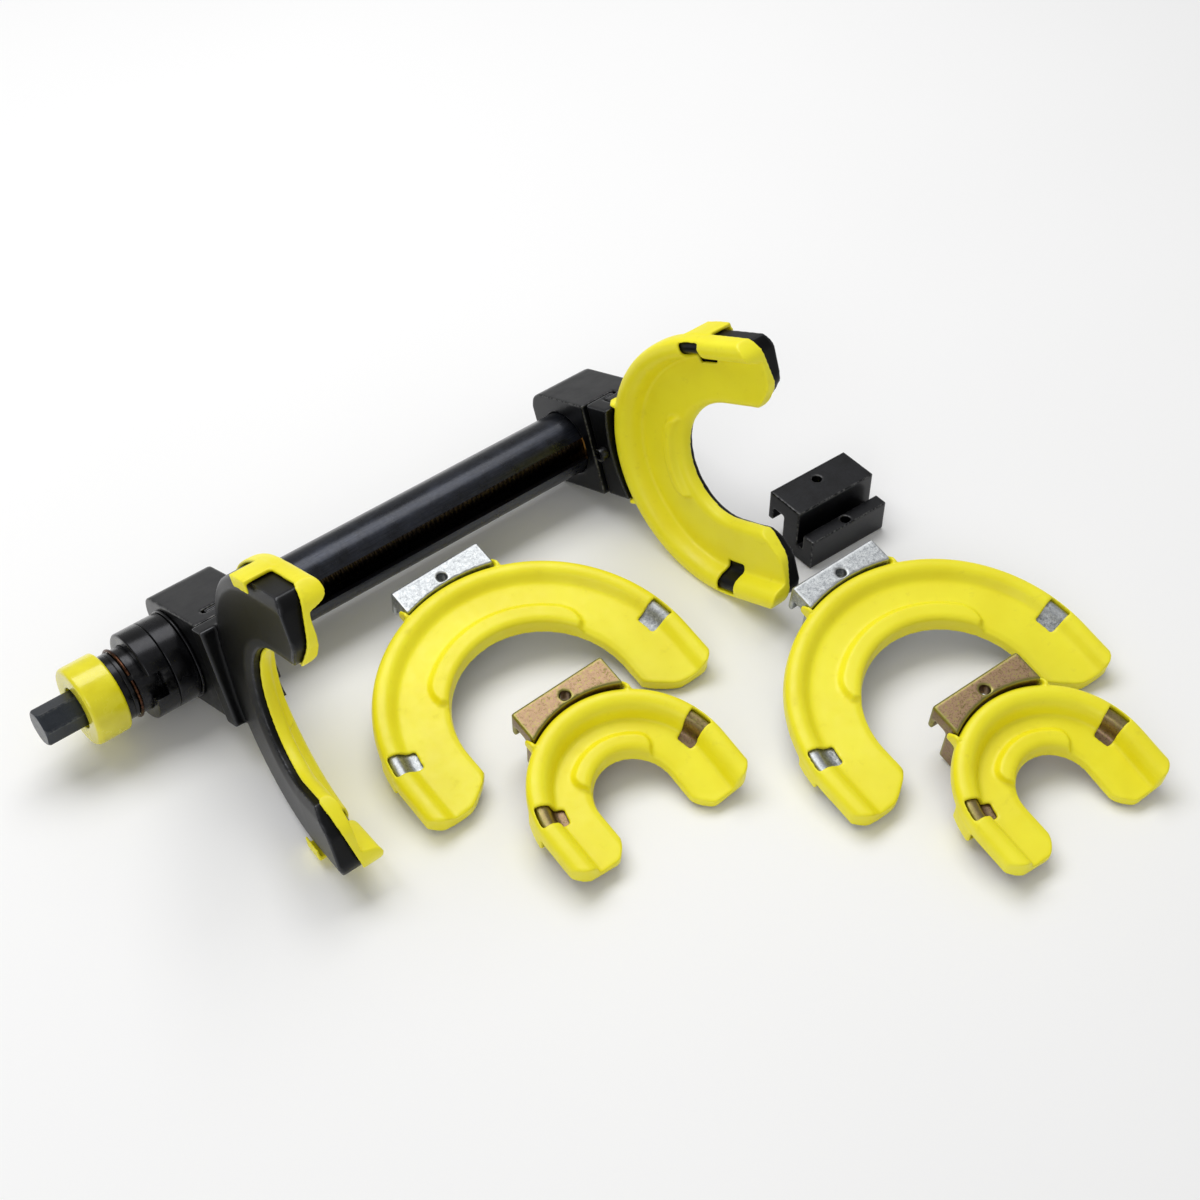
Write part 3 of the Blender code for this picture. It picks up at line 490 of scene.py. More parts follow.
# %% Spring wire, bronze and thread steel
def plain_metal(name, dark, light, rough, size):
    finish, tree, shader, place = new_finish(name)
    cloud = node(tree, "ShaderNodeTexNoise", Vector=place, Scale=per_mm(size), Detail=5.0, Roughness=0.6)
    tree.links.new(ramp(tree, cloud.outputs["Fac"], [(0.35, dark), (0.65, light)]),
                   shader.inputs["Base Color"])
    tree.links.new(level(tree, cloud.outputs["Fac"], 0.3, 0.7, rough - 0.08, rough + 0.08),
                   shader.inputs["Roughness"])
    bump = node(tree, "ShaderNodeBump", Height=cloud.outputs["Fac"], Strength=0.1, Distance=0.05 * MM)
    tree.links.new(bump.outputs["Normal"], shader.inputs["Normal"])
    shader.inputs["Metallic"].default_value = 1.0
    return finish


SPRING_WIRE = plain_metal("spring_wire_tempered", "2C1C15", "5E3F2E", 0.28, 3)
BRONZE = plain_metal("bronze_cast_turned", "7A5428", "A67C46", 0.36, 4)
THREAD_STEEL = plain_metal("steel_thread_oiled", "2A231D", "4A4038", 0.34, 2)
RACE_STEEL = plain_metal("bearing_steel_ground", "84868A", "A4A6A8", 0.2, 5)
print("finish:", SPRING_WIRE.name, BRONZE.name, THREAD_STEEL.name)

# %% [markdown]
# ## Spindle, thread and drive end
#
# The hex takes a socket. Its end is turned to a cone after the flats are milled, so each
# corner shows a small curved facet: the ring's radius is the smaller of hexagon and cone.

# %% Hex spindle
HEX_AF = 22.0 * MM
PITCH = 4.0 * MM


def hex_radius(angle, across):
    third = math.pi / 3
    return (across / 2) / math.cos((angle + third / 2) % third - third / 2)


def spindle():
    steps = 144
    rings = []
    for x, cone in ((0.0, 11.3), (0.15, 11.6), (0.5, 12.0), (1.1, 12.5), (1.6, 12.68), (34.0, 12.68)):
        ring = []
        for i in range(steps):
            a = 2 * math.pi * i / steps
            r = min(hex_radius(a, HEX_AF), cone * MM)
            ring.append(Vector((x * MM, r * math.cos(a), r * math.sin(a))))
        rings.append(ring)
    for x, r in ((34.02, 11.8), (78.5, 11.8), (78.52, 16.3), (78.8, 16.5), (83.2, 16.5), (83.5, 16.2),
                 (83.52, 10.0), (84.5, 10.0)):
        rings.append([Vector((x * MM, r * MM * math.cos(2 * math.pi * i / steps),
                              r * MM * math.sin(2 * math.pi * i / steps))) for i in range(steps)])
    return loft("spindle", rings)


def threaded_rod():
    """Trapezoidal thread: the flank's height depends on the distance along and round the rod."""
    steps, per_turn = 36, 8
    start, end = 84.6 * MM, 476.0 * MM
    count = int((end - start) / PITCH * per_turn)
    rings = []
    for k in range(count + 1):
        x = start + (end - start) * k / count
        ring = []
        for i in range(steps):
            a = 2 * math.pi * i / steps
            phase = (x / PITCH - a / (2 * math.pi)) % 1.0
            height = min(max(abs(phase - 0.5) * 5.0 - 0.75, 0.0), 1.0)
            r = (9.0 + 1.45 * height) * MM
            ring.append(Vector((x, r * math.cos(a), r * math.sin(a))))
        rings.append(ring)
    return loft("threaded_rod", rings)


piece("spindle_hex", spindle(), TOOL, "drive_spindle", HEX_STEEL, ["spindle"])
piece("spindle_thread", threaded_rod(), TOOL, "drive_spindle", THREAD_STEEL, [], sharp=50)

# %% [markdown]
# The yellow ring is pressed over the hex and stops the socket. Behind it comes the turned
# drive sleeve with a groove for the spring ring, which has a gap for a pick.

# %% Ring, sleeve and spring ring
ring_profile = [(26.7, 14.6), (26.7, 25.6), (27.7, 27.0), (29.4, 27.6), (49.4, 27.6), (50.7, 26.4),
                (50.7, 13.1), (30.7, 13.1), (30.7, 14.6)]
piece("yellow_ring", turned("yellow_ring", [(x * MM, r * MM) for x, r in ring_profile], radius=1.0 * MM),
      TOOL, "drive_spindle", RING_ENAMEL, ["drive_ring"], sharp=50)
sleeve_profile = [(51.0, 12.1), (51.0, 22.1), (51.8, 22.9), (55.6, 22.9), (55.9, 22.4), (56.3, 22.9),
                  (58.7, 22.9), (58.7, 22.2), (61.7, 22.2), (61.7, 22.9), (76.0, 22.9), (76.0, 12.1)]
piece("drive_sleeve_turned", turned("drive_sleeve", [(x * MM, r * MM) for x, r in sleeve_profile],
                                    radius=0.3 * MM),
      TOOL, "drive_spindle", RING_BLACK, ["drive_sleeve"])


def spring_ring():
    rings = []
    gap = math.radians(9.0)
    start = math.radians(62.0) + gap / 2
    for i in range(121):
        a = start + (2 * math.pi - gap) * i / 120
        ring = []
        for k in range(14):
            b = 2 * math.pi * k / 14
            r = 23.6 * MM + 1.1 * MM * math.cos(b)
            ring.append(Vector((60.2 * MM + 1.1 * MM * math.sin(b), r * math.cos(a), r * math.sin(a))))
        rings.append(ring)
    return loft("spring_ring", rings)


piece("spring_ring", spring_ring(), TOOL, "drive_spindle", SPRING_WIRE, ["snap_ring"])

# %% [markdown]
# The thrust bearing sits in two turned shells with a fine joint line between them. The front
# one has a milled notch for a hook spanner.

# %% Bearing shells
collar_profile = [(68.6, 23.2), (68.6, 29.85), (69.5, 30.75), (83.6, 30.75), (84.1, 30.3), (84.1, 17.0),
                  (76.3, 17.0), (76.3, 23.2)]
collar = turned("collar", [(x * MM, r * MM) for x, r in collar_profile], radius=0.4 * MM)
spanner_notch = box("notch", (67.6 * MM, -9.0 * MM, 20.9 * MM), (77.1 * MM, 9.0 * MM, 33.0 * MM))
spanner_notch.transform(Matrix.Rotation(math.radians(-2.0), 4, "X"))
piece("bearing_collar_turned", cut(collar, spanner_notch), TOOL, "tool", RING_BLACK,
      ["bearing_collar"], sharp=30)
housing_profile = [(84.4, 19.0), (84.4, 30.3), (84.9, 30.75), (99.0, 30.75), (99.5, 30.3), (99.5, 24.3),
                   (96.2, 24.3), (96.2, 13.0), (94.7, 13.0), (94.7, 19.0)]
piece("bearing_shell_turned", turned("housing", [(x * MM, r * MM) for x, r in housing_profile],
                                     radius=0.4 * MM),
      TOOL, "tool", RING_BLACK, ["bearing_housing"], sharp=30)
keeper_profile = [(99.8, 24.3), (99.8, 31.2), (100.2, 31.6), (101.3, 31.6), (101.7, 31.2), (101.7, 24.3)]
piece("keeper_ring", turned("keeper", [(x * MM, r * MM) for x, r in keeper_profile], radius=0.2 * MM),
      TOOL, "tool", RING_BLACK, ["retaining_ring"], sharp=30)
for hidden in ("thrust_race_front", "thrust_roller_cage", "thrust_race_rear", "nut_key"):
    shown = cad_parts[hidden]
    shown.data.materials.clear()
    shown.data.materials.append(RACE_STEEL)
print("bearing parts keep their turned frame solids")

# %% [markdown]
# ## Tube and nut
#
# A drawn tube with one long milled slot. The nut inside pulls the travelling block along
# through a key that rides in the slot.

# %% Slotted tube
tube_profile = [(96.5, 19.0), (96.5, 23.3), (97.2, 24.0), (487.3, 24.0), (488.0, 23.3), (488.0, 19.0)]
tube = turned("tube", [(x * MM, r * MM) for x, r in tube_profile], steps=192, radius=0.3 * MM)
slot = box("slot", (156.0 * MM, -8.5 * MM, 10.0 * MM), (474.0 * MM, 8.5 * MM, 29.0 * MM))
piece("tube_drawn", cut(tube, slot), TOOL, "tool", TUBE_BLACK, ["slotted_tube"], sharp=30)
plug_profile = [(477.2, 8.3), (477.2, 18.7), (488.3, 18.7), (488.3, 23.7), (492.8, 23.7), (494.0, 22.4),
                (494.0, 6.0), (487.0, 6.0), (487.0, 8.3)]
piece("end_plug_turned", turned("plug", [(x * MM, r * MM) for x, r in plug_profile], radius=0.5 * MM),
      TOOL, "tool", RING_BLACK, ["end_plug"], sharp=35)
KEY_START, KEY_END, KEY_HALF = 439.7 * MM, 466.3 * MM, 8.3 * MM
nut_profile = [(432.0, 10.8), (432.0, 17.7), (433.0, 18.7), (473.0, 18.7), (474.0, 17.7), (474.0, 10.8)]
nut = turned("nut", [(x * MM, r * MM) for x, r in nut_profile])
key_seat = box("seat", (KEY_START, -KEY_HALF, 13.7 * MM), (KEY_END, KEY_HALF, 40.0 * MM))
piece("nut_bronze", cut(nut, key_seat), TOOL, "carriage", BRONZE, ["spindle_nut"], sharp=35)

# %% [markdown]
# ## Carrier blocks
#
# Both blocks are milled from the same bar. A deep slot and a rail along the jaw side take the
# hook of a jaw, and a tapped hole in the rail takes its lock screw.

# %% Carriers
BLOCK_W = 71.0 * MM
BLOCK_LEN, TUBE_BORE, SCREW_HOLE = 48.0 * MM, 24.3 * MM, 3.6 * MM
SLOT_T, RAIL_T, RAIL_H, LIP_T, LIP_LEN = 5.9 * MM, 10.1 * MM, 12.9 * MM, 4.5 * MM, 24.0 * MM
ROOF_T, BLOCK_H, HOOK_GAP, WALL_U, GAP = 12.9 * MM, 41.0 * MM, 0.5 * MM, 33.0 * MM, 0.3 * MM


def carrier_outline():
    half, front, r = BLOCK_W / 2, WALL_U + SLOT_T + RAIL_T, 15.0 * MM
    points = [(-half, front), (half, front)]
    for sign in (1, -1):
        arc = []
        for i in range(13):
            a = math.radians(7.5 * i)
            arc.append((sign * (half - r + r * math.cos(a)), -(33.0 * MM - r + r * math.sin(a))))
        points += arc if sign > 0 else arc[::-1]
    return points


def carrier(x0, facing, base):
    """Block from x0 on, open at the end it faces; base is the floor left in its slot."""
    x1 = x0 + BLOCK_LEN
    body = extruded("carrier", carrier_outline(), x0, x1, "x")
    rail_u = WALL_U + SLOT_T
    if facing > 0:
        slot_x, rail_x = (x0 + base, x1 + 5.0 * MM), (x0 + base + RAIL_H, x1 + 5.0 * MM)
        hole_x = (rail_x[0] - 11.0 * MM, rail_x[0] + 3.0 * MM)
    else:
        slot_x, rail_x = (x0 - 5.0 * MM, x1 - base), (x0 - 5.0 * MM, x1 - base - RAIL_H)
        hole_x = (rail_x[1] - 3.0 * MM, rail_x[1] + 11.0 * MM)
    wide = BLOCK_W
    return cut(body, box("slot", (slot_x[0], -wide, WALL_U), (slot_x[1], wide, rail_u)),
               box("rail", (rail_x[0], -wide, rail_u - 1.0 * MM), (rail_x[1], wide, 0.08)),
               rod("bore", TUBE_BORE, x0 - 5.0 * MM, x1 + 5.0 * MM, "x", steps=128),
               rod("hole", SCREW_HOLE, hole_x[0], hole_x[1], "x", at=(0.0, rail_u + RAIL_T / 2)))


fixed = softened(carrier(102.0 * MM, 1, 12.0 * MM), 0.9 * MM, 3)
piece("fixed_block", fixed, TOOL, "tool", BLOCK_BLACK, ["fixed_carrier"], sharp=None)
pocket = box("pocket", (KEY_START, -KEY_HALF, 10.0 * MM), (KEY_END, KEY_HALF, 29.3 * MM))
travelling = softened(cut(carrier(429.0 * MM, -1, 19.0 * MM), pocket), 0.9 * MM, 3)
piece("travelling_block", travelling, TOOL, "carriage", BLOCK_BLACK,
      ["travelling_carrier"], sharp=None)

# %% [markdown]
# ## Jaws
#
# Each jaw is a forged C whose seat climbs like a coil of the spring. A point on it is named
# by how far round it is (its station), its distance from the centre, and its height. Stations
# from -1 to 1 run round the half circle and go on along a straight arm to 2.
#
# For each kind of jaw: outer and inner radius (ro, ri), length of the straight arm, height of
# the rim's wall, how much of the arm's inner corner is cut off (cut_u along, cut_w across),
# depth of the hook block, lean of the seat, how far the rim lies below the block's top,
# thickness under the seat, climb per radian and where the window starts and ends.

# %% Jaw shape
COVER_T, TIP_GAP = 2.5 * MM, 1.3 * MM
JAWS = {
    "large": dict(ro=113.0, ri=67.0, arm=29.0, wall=6.5, cut_u=13.0, cut_w=18.0, depth=24.5, lean=0.0,
                  rim=1.5, seat_t=7.0, helix=-5.6, window=(-27.0, -11.0)),
    "medium": dict(ro=92.2, ri=44.0, arm=42.0, wall=14.0, cut_u=12.0, cut_w=15.0, depth=28.0, lean=0.10,
                   rim=4.5, seat_t=13.0, helix=-5.0, window=(-12.3, 5.3)),
    "small": dict(ro=67.0, ri=30.5, arm=28.0, wall=13.0, cut_u=7.5, cut_w=7.5, depth=29.0, lean=0.05,
                  rim=3.0, seat_t=6.5, helix=-3.6, window=(-24.0, -9.0)),
}
for size in JAWS.values():
    for key, value in size.items():
        if key == "window":
            size[key] = (value[0] * MM, value[1] * MM)
        elif key != "lean":
            size[key] = value * MM


def hook_u(size):
    return -(math.sqrt(size["ro"] ** 2 - (BLOCK_W / 2) ** 2) + size["depth"])


def tip_u(size, rho):
    """Length of an arm at one distance from the middle: its corners are cut back."""
    end, inner, outer = size["arm"], size["ri"] + size["cut_w"], size["ro"] - 9.0 * MM
    t = (inner - rho) / size["cut_w"]
    if t > 0.3:
        end -= size["cut_u"] * t + size["cut_u"] * 0.9 * max(t - 0.7, 0.0) ** 2
    elif t > -0.3:
        end -= size["cut_u"] * (t + 0.3) ** 2 / 1.2
    if rho > outer:
        end -= 5.0 * MM * ((rho - outer) / (9.0 * MM)) ** 2
    return end


def jaw_point(size, station, rho, n):
    if abs(station) <= 1.0:
        turn = station * math.pi / 2
        u, w = -rho * math.cos(turn), rho * math.sin(turn)
    else:
        side = 1.0 if station > 0 else -1.0
        u, w = (abs(station) - 1.0) * tip_u(size, rho), side * rho
        turn = side * (math.pi / 2 + u / size["ro"])
    return Vector((u, w, n + size["helix"] * turn - size["lean"] * (u + size["ro"])))


def levels(size):
    rim = -size["rim"] - 0.3 * MM
    seat = rim - size["wall"]
    return rim, seat, seat - size["seat_t"]


STATIONS = ([-2.0 + i / 12 for i in range(12)] + [-1.0 + 2.0 * i / 84 for i in range(85)]
            + [1.0 + (i + 1) / 12 for i in range(12)])
print("stations round a jaw:", len(STATIONS))

# %% [markdown]
# The line the cover lies on runs from the outer skirt, over the rim and down to the seat, to
# the inner edge. Cutting its corners twice gives the generous moulded radii of the real part.

# %% Section of a jaw
def eased(line, times=2):
    for _ in range(times):
        out = [line[0]]
        for a, b in zip(line, line[1:]):
            out.append((a[0] * 0.75 + b[0] * 0.25, a[1] * 0.75 + b[1] * 0.25))
            out.append((a[0] * 0.25 + b[0] * 0.75, a[1] * 0.25 + b[1] * 0.75))
        line = out + [line[-1]]
    return line


def seat_line(size):
    ro, ri = size["ro"], size["ri"]
    rim, seat, _ = levels(size)
    drop = min(size["seat_t"], 8.0 * MM) - 1.5 * MM
    corners = [(ro, rim - 10.5 * MM), (ro, rim - 2.0 * MM), (ro - 2.0 * MM, rim), (ro - 6.5 * MM, rim),
               (ro - 9.5 * MM, rim - 3.0 * MM), (ro - 11.5 * MM, seat + 1.5 * MM), (ro - 14.5 * MM, seat),
               (ri + 20.0 * MM, seat), (ri + 15.0 * MM, seat), (ri + 10.0 * MM, seat),
               (ri + 5.0 * MM, seat), (ri + 2.0 * MM, seat), (ri, seat - 2.0 * MM), (ri, seat - drop)]
    return eased(corners)


def offset_line(line, d):
    out = []
    for i, (x, y) in enumerate(line):
        a, b = line[max(i - 1, 0)], line[min(i + 1, len(line) - 1)]
        dx, dy = b[0] - a[0], b[1] - a[1]
        length = math.hypot(dx, dy)
        out.append((x + dy / length * d, y - dx / length * d))
    return out


print("points in the section:", len(seat_line(JAWS["medium"])))

# %% [markdown]
# ### The forging
#
# The C and its hook block are one forging. The block's top is trimmed to the cover's rim, and
# its hook and screw hole are cut. Softening then blends block and arms as forging radii do.

# %% Forged jaw
def strip_caps(rings, count):
    """Skin whose ends are closed rung by rung, because a jaw's end is not flat."""
    bm = bmesh.new()
    rows = [[bm.verts.new(p) for p in ring] for ring in rings]
    for a, b in zip(rows, rows[1:]):
        for i in range(count):
            j = (i + 1) % count
            bm.faces.new((a[i], a[j], b[j], b[i]))
    for row in (rows[0], rows[-1]):
        for i in range(count // 2 - 1):
            bm.faces.new((row[i], row[i + 1], row[count - 2 - i], row[count - 1 - i]))
    return mesh_from(bm, "forging")


def jaw_forging(size):
    ro, ri = size["ro"], size["ri"]
    rim, _, under = levels(size)
    line = [p for p in seat_line(size) if p[1] > under + 3.0 * MM and (p[0] < ro or p[1] > rim - 4.0 * MM)]
    belly = 2.2 * MM
    foot = []
    for rho, _ in line:
        t = (rho - ri) / (ro - ri)
        bulge = belly * min(t, 1 - t) / 0.16
        foot.append((rho, under + belly - min(bulge, belly)))
    section = line + foot[::-1]
    rings = [[jaw_point(size, s, rho, n) for rho, n in section] for s in STATIONS]
    arms = strip_caps(rings, len(section))
    hook, half = hook_u(size), BLOCK_W / 2
    back, front = hook + LIP_T + RAIL_T + 2 * HOOK_GAP, -math.sqrt(ro ** 2 - half ** 2) + 1.0 * MM
    outline = [(hook + 1.2 * MM, 0.0), (hook, -1.2 * MM), (hook, -LIP_LEN), (hook + LIP_T, -LIP_LEN),
               (hook + LIP_T, -ROOF_T), (back, -ROOF_T), (back, -BLOCK_H), (front, -BLOCK_H), (front, 0.0)]
    block = extruded("block", outline, -half, half, "y")
    shelf = max(rim - 15.0 * MM, under + 0.8 * MM)
    block = cut(block, rod("upper", ro + COVER_T + 3 * GAP, shelf, 0.02, "z", steps=240),
                rod("lower", ro - 8.0 * MM, -0.1, shelf + 1.0 * MM, "z", steps=240))
    hole = rod("hole", SCREW_HOLE, -BLOCK_H, 0.02, "z", at=(hook + LIP_T + HOOK_GAP + RAIL_T / 2, 0.0))
    return softened(cut(join(arms, block), hole), 1.0 * MM, 9)


FORGINGS = {name: jaw_forging(size) for name, size in JAWS.items()}
print("forgings:", {name: len(mesh.polygons) for name, mesh in FORGINGS.items()})

# %% [markdown]
# ### The cover
#
# The cover is a moulded shell over rim and seat. A rib stands up on the seat where the coil
# ends, windows let grit fall out near the arm tips, and tabs clip under the outer edge.
# Straps cross the windows' outer side and pointed horns grip the block's corners.
#
# RIB says how many millimetres from the seat's inner edge the rib starts and ends, and at
# which station it has faded out. A start of 0 runs it right to the inner edge.

# %% Cover shell
RIB_H, RIB_FADE = 5.0 * MM, 0.16
RIB = {"large": (0.0, 15.0, 0.62), "medium": (2.0, 14.0, 0.42), "small": (0.0, 13.0, 0.60)}


def smooth_step(t):
    t = min(max(t, 0.0), 1.0)
    return t * t * (3 - 2 * t)


def rib_height(name, size, station, rho):
    """Rib on the seat: from one radius to another, faded out at both ends."""
    start, end, reach = RIB[name]
    across = rho - size["ri"]
    t = min(max((abs(station) - reach + RIB_FADE) / RIB_FADE, 0.0), 1.0)
    edge = start + (end - start) * math.sqrt(1.0 - t * t)
    inner = 1.0 if start == 0 else smooth_step((across - start * MM) / (3.0 * MM))
    outer = smooth_step((edge * MM - across) / (4.5 * MM))
    return RIB_H * inner * outer


def shell(inner, outer, ends):
    """Channel-shaped shell closed at both ends by a thin wall past the tips."""
    bm = bmesh.new()
    rows_in = [[bm.verts.new(p) for p in row] for row in inner]
    rows_out = [[bm.verts.new(p) for p in row] for row in outer]
    n = len(rows_in[0])

    def strip(a, b):
        for i in range(n - 1):
            bm.faces.new((a[i], a[i + 1], b[i + 1], b[i]))

    for k in range(len(rows_in) - 1):
        strip(rows_in[k], rows_in[k + 1])
        strip(rows_out[k], rows_out[k + 1])
        for i in (0, n - 1):
            bm.faces.new((rows_in[k][i], rows_in[k + 1][i], rows_out[k + 1][i], rows_out[k][i]))
    for parts, k in zip(ends, (0, len(rows_in) - 1)):
        past, foot_in, foot_out = [[bm.verts.new(p) for p in part] for part in parts]
        strip(rows_in[k], foot_in)
        strip(rows_out[k], past)
        strip(past, foot_out)
        strip(foot_out, foot_in)
        for i in (0, n - 1):
            bm.faces.new((rows_in[k][i], foot_in[i], past[i]))
            bm.faces.new((rows_in[k][i], past[i], rows_out[k][i]))
            bm.faces.new((foot_in[i], foot_out[i], past[i]))
    bm.normal_update()
    bmesh.ops.triangulate(bm, faces=bm.faces)
    return mesh_from(bm, "shell")


def cover_shell(name, size):
    line = seat_line(size)
    under_line, over_line = offset_line(line, GAP), offset_line(line, GAP + COVER_T)
    count = len(line)
    low, slope = line[0][1] - 1.5 * MM, (line[-1][1] - line[0][1]) / (count - 1)

    def row(station, points, past=0.0, rib=False):
        out = []
        for i, (rho, n) in enumerate(points):
            on_seat = rib and i > count * 0.45 and line[i][1] > levels(size)[1] - 1.5 * MM
            up = rib_height(name, size, station, rho) if on_seat else 0.0
            p = jaw_point(size, station, rho, n + up)
            out.append(Vector((p.x + past, p.y, p.z)))
        return out

    tips = (STATIONS[0], STATIONS[-1])
    inner = [row(s, under_line, TIP_GAP if s in tips else 0.0) for s in STATIONS]
    outer = [row(s, over_line, TIP_GAP if s in tips else 0.0, rib=True) for s in STATIONS]
    ends = []
    for s in tips:
        feet = []
        for points, past in ((under_line, TIP_GAP), (over_line, TIP_GAP + COVER_T)):
            first, last = points[0][0], points[-1][0]
            foot = [(first + (last - first) * i / (count - 1), low + slope * i) for i in range(count)]
            feet.append(row(s, foot, past))
        ends.append((row(s, over_line, TIP_GAP + COVER_T), feet[0], feet[1]))
    return shell(inner, outer, ends)


# %% [markdown]
# Windows, tabs and horns follow the same curve as the arm, so they are short pieces of one
# section carried along it.

# %% Windows, tabs and horns
def arm_piece(size, side, span, section):
    rings = []
    for i in range(8):
        u = span[0] + (span[1] - span[0]) * i / 7
        reach = size["ro"] * math.pi / 2 if u < 0 else size["arm"]
        rings.append([jaw_point(size, side * (1.0 + u / reach), rho, n) for rho, n in section])
    return loft("arm_piece", rings)


def horn(size, side):
    """Pointed ear on the rim that bends down beside the block."""
    half, ro = BLOCK_W / 2, size["ro"]
    rim = levels(size)[0]
    a = math.asin((half + 2.2 * MM) / (ro + COVER_T))
    u0 = -(ro + COVER_T + GAP) * math.cos(a)
    lift = size["helix"] * side * a - size["lean"] * (u0 + ro)
    low, high = rim - 9.0 * MM + lift, rim + 2.6 * MM + lift
    outline = [(u0 + 1.5 * MM, low), (u0 + 1.5 * MM, high), (u0 - 2.0 * MM, high),
               (u0 - 8.0 * MM, high - 5.5 * MM), (u0 - 8.0 * MM, low + 1.0 * MM)]
    at = sorted((side * (half + 0.8 * MM), side * (half + 3.4 * MM)))
    return extruded("horn", outline, at[0], at[1], "y")


def jaw_cover(name, size):
    rim, _, under = levels(size)
    ro, (first, last) = size["ro"], size["window"]
    opening = [(ro - 19.0 * MM, -0.06), (ro + 0.15 * MM, -0.06), (ro + 0.15 * MM, 0.02),
               (ro - 19.0 * MM, 0.02)]
    edge = ro + COVER_T + 0.8 * MM
    hook = [(ro + 0.6 * MM, rim - 8.0 * MM), (edge, rim - 8.0 * MM), (edge, under - 2.2 * MM),
            (ro - 5.0 * MM, under - 2.2 * MM), (ro - 5.0 * MM, under - 0.5 * MM),
            (ro + 0.6 * MM, under - 0.5 * MM)]
    cover = cover_shell(name, size)
    for side in (1, -1):
        window = arm_piece(size, side, (first, last), opening)
        tab = arm_piece(size, side, (first - 2.0 * MM, last + 2.0 * MM), hook)
        cover = join(cut(cover, window), tab)
    for side in (1, -1):
        cover = join(cover, horn(size, side))
    return softened(cover, 0.8 * MM, 9)


COVERS = {name: jaw_cover(name, size) for name, size in JAWS.items()}
print("covers:", {name: len(mesh.polygons) for name, mesh in COVERS.items()})

# %% [markdown]
# ### The jaws in their places
#
# The two black jaws hang on the tool. The travelling one is the same forging turned round, so
# both seats face each other. The silver and gold pairs lie on the floor, covers up.

# %% Placing the jaws
def axes(u, w, n, at):
    return Matrix(((u[0], w[0], n[0], at[0]), (u[1], w[1], n[1], at[1]), (u[2], w[2], n[2], at[2]),
                   (0, 0, 0, 1)))


medium = JAWS["medium"]
centre = WALL_U + (SLOT_T - LIP_T - HOOK_GAP) - hook_u(medium)
FIXED_JAW = TOOL @ axes((0, 0, 1), (0, -1, 0), (1, 0, 0), (140.1 * MM, 0, centre))
TRAVEL_JAW = TOOL @ axes((0, 0, 1), (0, 1, 0), (-1, 0, 0), (431.9 * MM, 0, centre))
for name, place in (("fixed_jaw", FIXED_JAW), ("travelling_jaw", TRAVEL_JAW)):
    piece(name + "_forging", FORGINGS["medium"].copy(), place, name, FORGED_BLACK,
          [name + "_plate"], sharp=None)
    piece(name + "_moulding", COVERS["medium"].copy(), place, name, COVER_PLASTIC,
          [name + "_cover"], sharp=None)
for name, (size, x, y, z, heading, pitch, roll) in LOOSE_JAWS.items():
    place = Matrix.Translation(KIT_SHIFT + Vector((x, y, z)))
    for angle, about in ((heading, "Z"), (pitch, "Y"), (roll, "X")):
        place = place @ Matrix.Rotation(math.radians(angle), 4, about)
    skin, slot = (CLEAR_ZINC, "clear_zinc") if size == "large" else (YELLOW_ZINC, "yellow_zinc")
    piece(name + "_forging", FORGINGS[size].copy(), place, name, skin, [name + "_plate"], sharp=None)
    piece(name + "_moulding", COVERS[size].copy(), place, name, COVER_PLASTIC,
          [name + "_cover"], sharp=None)

# %% [markdown]
# ### Lock screws
#
# Each mounted jaw is locked by a socket-head screw through its block into the rail.

# %% Lock screws
def lock_screw():
    rings = []
    steps = 48
    for z, r in ((-22.6, 2.6), (-22.0, 3.2), (0.26, 3.2), (0.3, 4.7), (0.6, 5.0), (5.6, 5.0), (6.1, 4.7),
                 (6.3, 4.2)):
        rings.append([Vector((r * MM * math.cos(2 * math.pi * i / steps),
                              r * MM * math.sin(2 * math.pi * i / steps), z * MM)) for i in range(steps)])
    return cut(loft("screw", rings), rod("socket", 2.9 * MM, 3.0 * MM, 10.0 * MM, "z", steps=6))


screw_u = hook_u(medium) + LIP_T + HOOK_GAP + RAIL_T / 2
for name, place in (("fixed_jaw", FIXED_JAW), ("travelling_jaw", TRAVEL_JAW)):
    piece(name + "_screw_turned", lock_screw(), place @ Matrix.Translation(Vector((screw_u, 0, 0))),
          name + "_screw", RING_BLACK, [name + "_lock_screw"], sharp=35)

# %% [markdown]
# ## Adapter block
#
# A small block with a hook on one side and a rail on the other. It hangs on a carrier and
# takes a jaw further out.

# %% Adapter
def adapter():
    wall, foot = 30.9 * MM, BLOCK_H
    back = LIP_T + RAIL_T + 2 * HOOK_GAP
    rail0 = wall + SLOT_T
    rail1, top = rail0 + RAIL_T, 12.0 * MM + RAIL_H
    outline = [(0.0, foot), (wall, foot), (wall, 12.0 * MM), (rail0, 12.0 * MM), (rail0, top), (rail1, top),
               (rail1, 0.0), (back, 0.0), (back, foot - ROOF_T), (LIP_T, foot - ROOF_T),
               (LIP_T, foot - LIP_LEN), (0.0, foot - LIP_LEN)]
    body = extruded("adapter", outline, -BLOCK_W / 2, BLOCK_W / 2, "y")
    return softened(cut(body,
                        rod("hole", SCREW_HOLE, foot - ROOF_T - 5.0 * MM, foot + 0.01, "z",
                            at=(LIP_T + HOOK_GAP + RAIL_T / 2, 0.0)),
                        rod("hole", SCREW_HOLE, top - 11.0 * MM, top + 0.01, "z",
                            at=(rail0 + RAIL_T / 2, 0.0))), 0.8 * MM, 3)


ADAPTER_BLACK = black_oxide("steel_adapter_worn_black_oxide", "0A0A0C", "1E1F23", (1.0, 0.3, 1.0),
                            0.45, 0.40)
piece("adapter_milled", adapter(), ADAPTER, "adapter", ADAPTER_BLACK, ["adapter_block"],
      sharp=None)

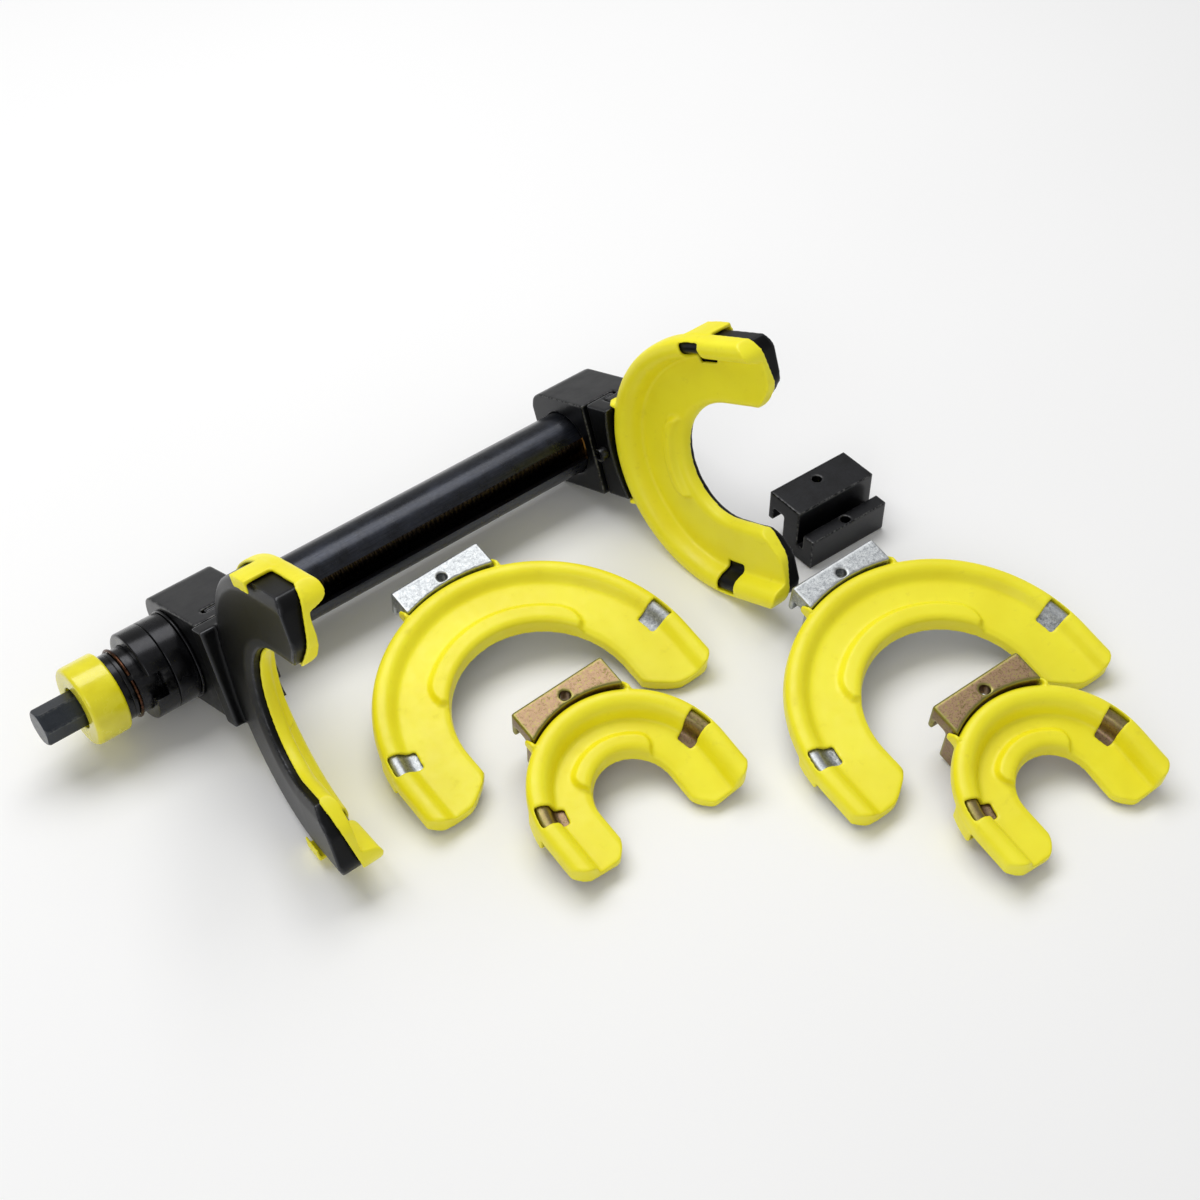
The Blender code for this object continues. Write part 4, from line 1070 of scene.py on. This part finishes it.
# %% Floor
def studio_sheet():
    finish, tree, shader, place = new_finish("studio_sheet_white")
    cloud = node(tree, "ShaderNodeTexNoise", Vector=place, Scale=1.2, Detail=2.0)
    tree.links.new(ramp(tree, cloud.outputs["Fac"], [(0.3, "F6F6F6"), (0.7, "FAFAFA")]),
                   shader.inputs["Base Color"])
    shader.inputs["Roughness"].default_value = 0.75
    return finish


bm = bmesh.new()
bmesh.ops.create_grid(bm, x_segments=1, y_segments=1, size=6.0)
sheet = bpy.data.objects.new("studio_sheet", mesh_from(bm, "studio_sheet"))
sheet.data.materials.append(studio_sheet())
sheet.location = (0.0, 0.0, -0.0002)
bpy.context.scene.collection.objects.link(sheet)
print("floor at", sheet.location.z / MM, "mm")

# %% [markdown]
# A large soft box hangs above and behind, which draws the long highlight on the tube. A
# weaker one fills from the front left, and a pale room lights the rest.

# %% Light
def soft_box(name, at, target, size, power):
    lamp = bpy.data.lights.new(name, "AREA")
    lamp.shape, lamp.size, lamp.size_y, lamp.energy = "RECTANGLE", size[0], size[1], power
    obj = bpy.data.objects.new(name, lamp)
    obj.location = at
    obj.rotation_euler = (Vector(target) - Vector(at)).to_track_quat("-Z", "Y").to_euler()
    bpy.context.scene.collection.objects.link(obj)
    return obj


soft_box("overhead", (0.1, 0.9, 1.9), (0.0, 0.1, 0.0), (2.4, 1.2), 31.0)
soft_box("front_left", (-1.8, -1.2, 1.5), (0.0, 0.0, 0.1), (1.2, 1.2), 9.0)
world = bpy.data.worlds.new("studio")
world.use_nodes = True
world.node_tree.nodes["Background"].inputs["Color"].default_value = (1.0, 1.0, 1.0, 1.0)
world.node_tree.nodes["Background"].inputs["Strength"].default_value = 0.42
bpy.context.scene.world = world
bpy.context.scene.view_settings.view_transform = "Standard"
print("lights:", len(bpy.data.lights))

# %% Camera
camera_data = bpy.data.cameras.new("camera")
camera_data.lens, camera_data.sensor_width = 56.4, 36.0
camera = bpy.data.objects.new("camera", camera_data)
camera.location = KIT_SHIFT + Vector((-0.5998, -0.7109, 0.9366))
aim = (KIT_SHIFT - camera.location).to_track_quat("-Z", "Y")
camera.rotation_euler = aim.to_euler()
bpy.context.scene.collection.objects.link(camera)
bpy.context.scene.camera = camera
print("camera at", [round(c, 3) for c in camera.location])

# %% [markdown]
# ## Size against the frame
#
# The finished kit should stay within a few millimetres of the plain frame solids.

# %% Size and finish
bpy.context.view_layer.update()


def corners(found):
    low, high = found
    return [[float(c) for c in low], [float(c) for c in high]]
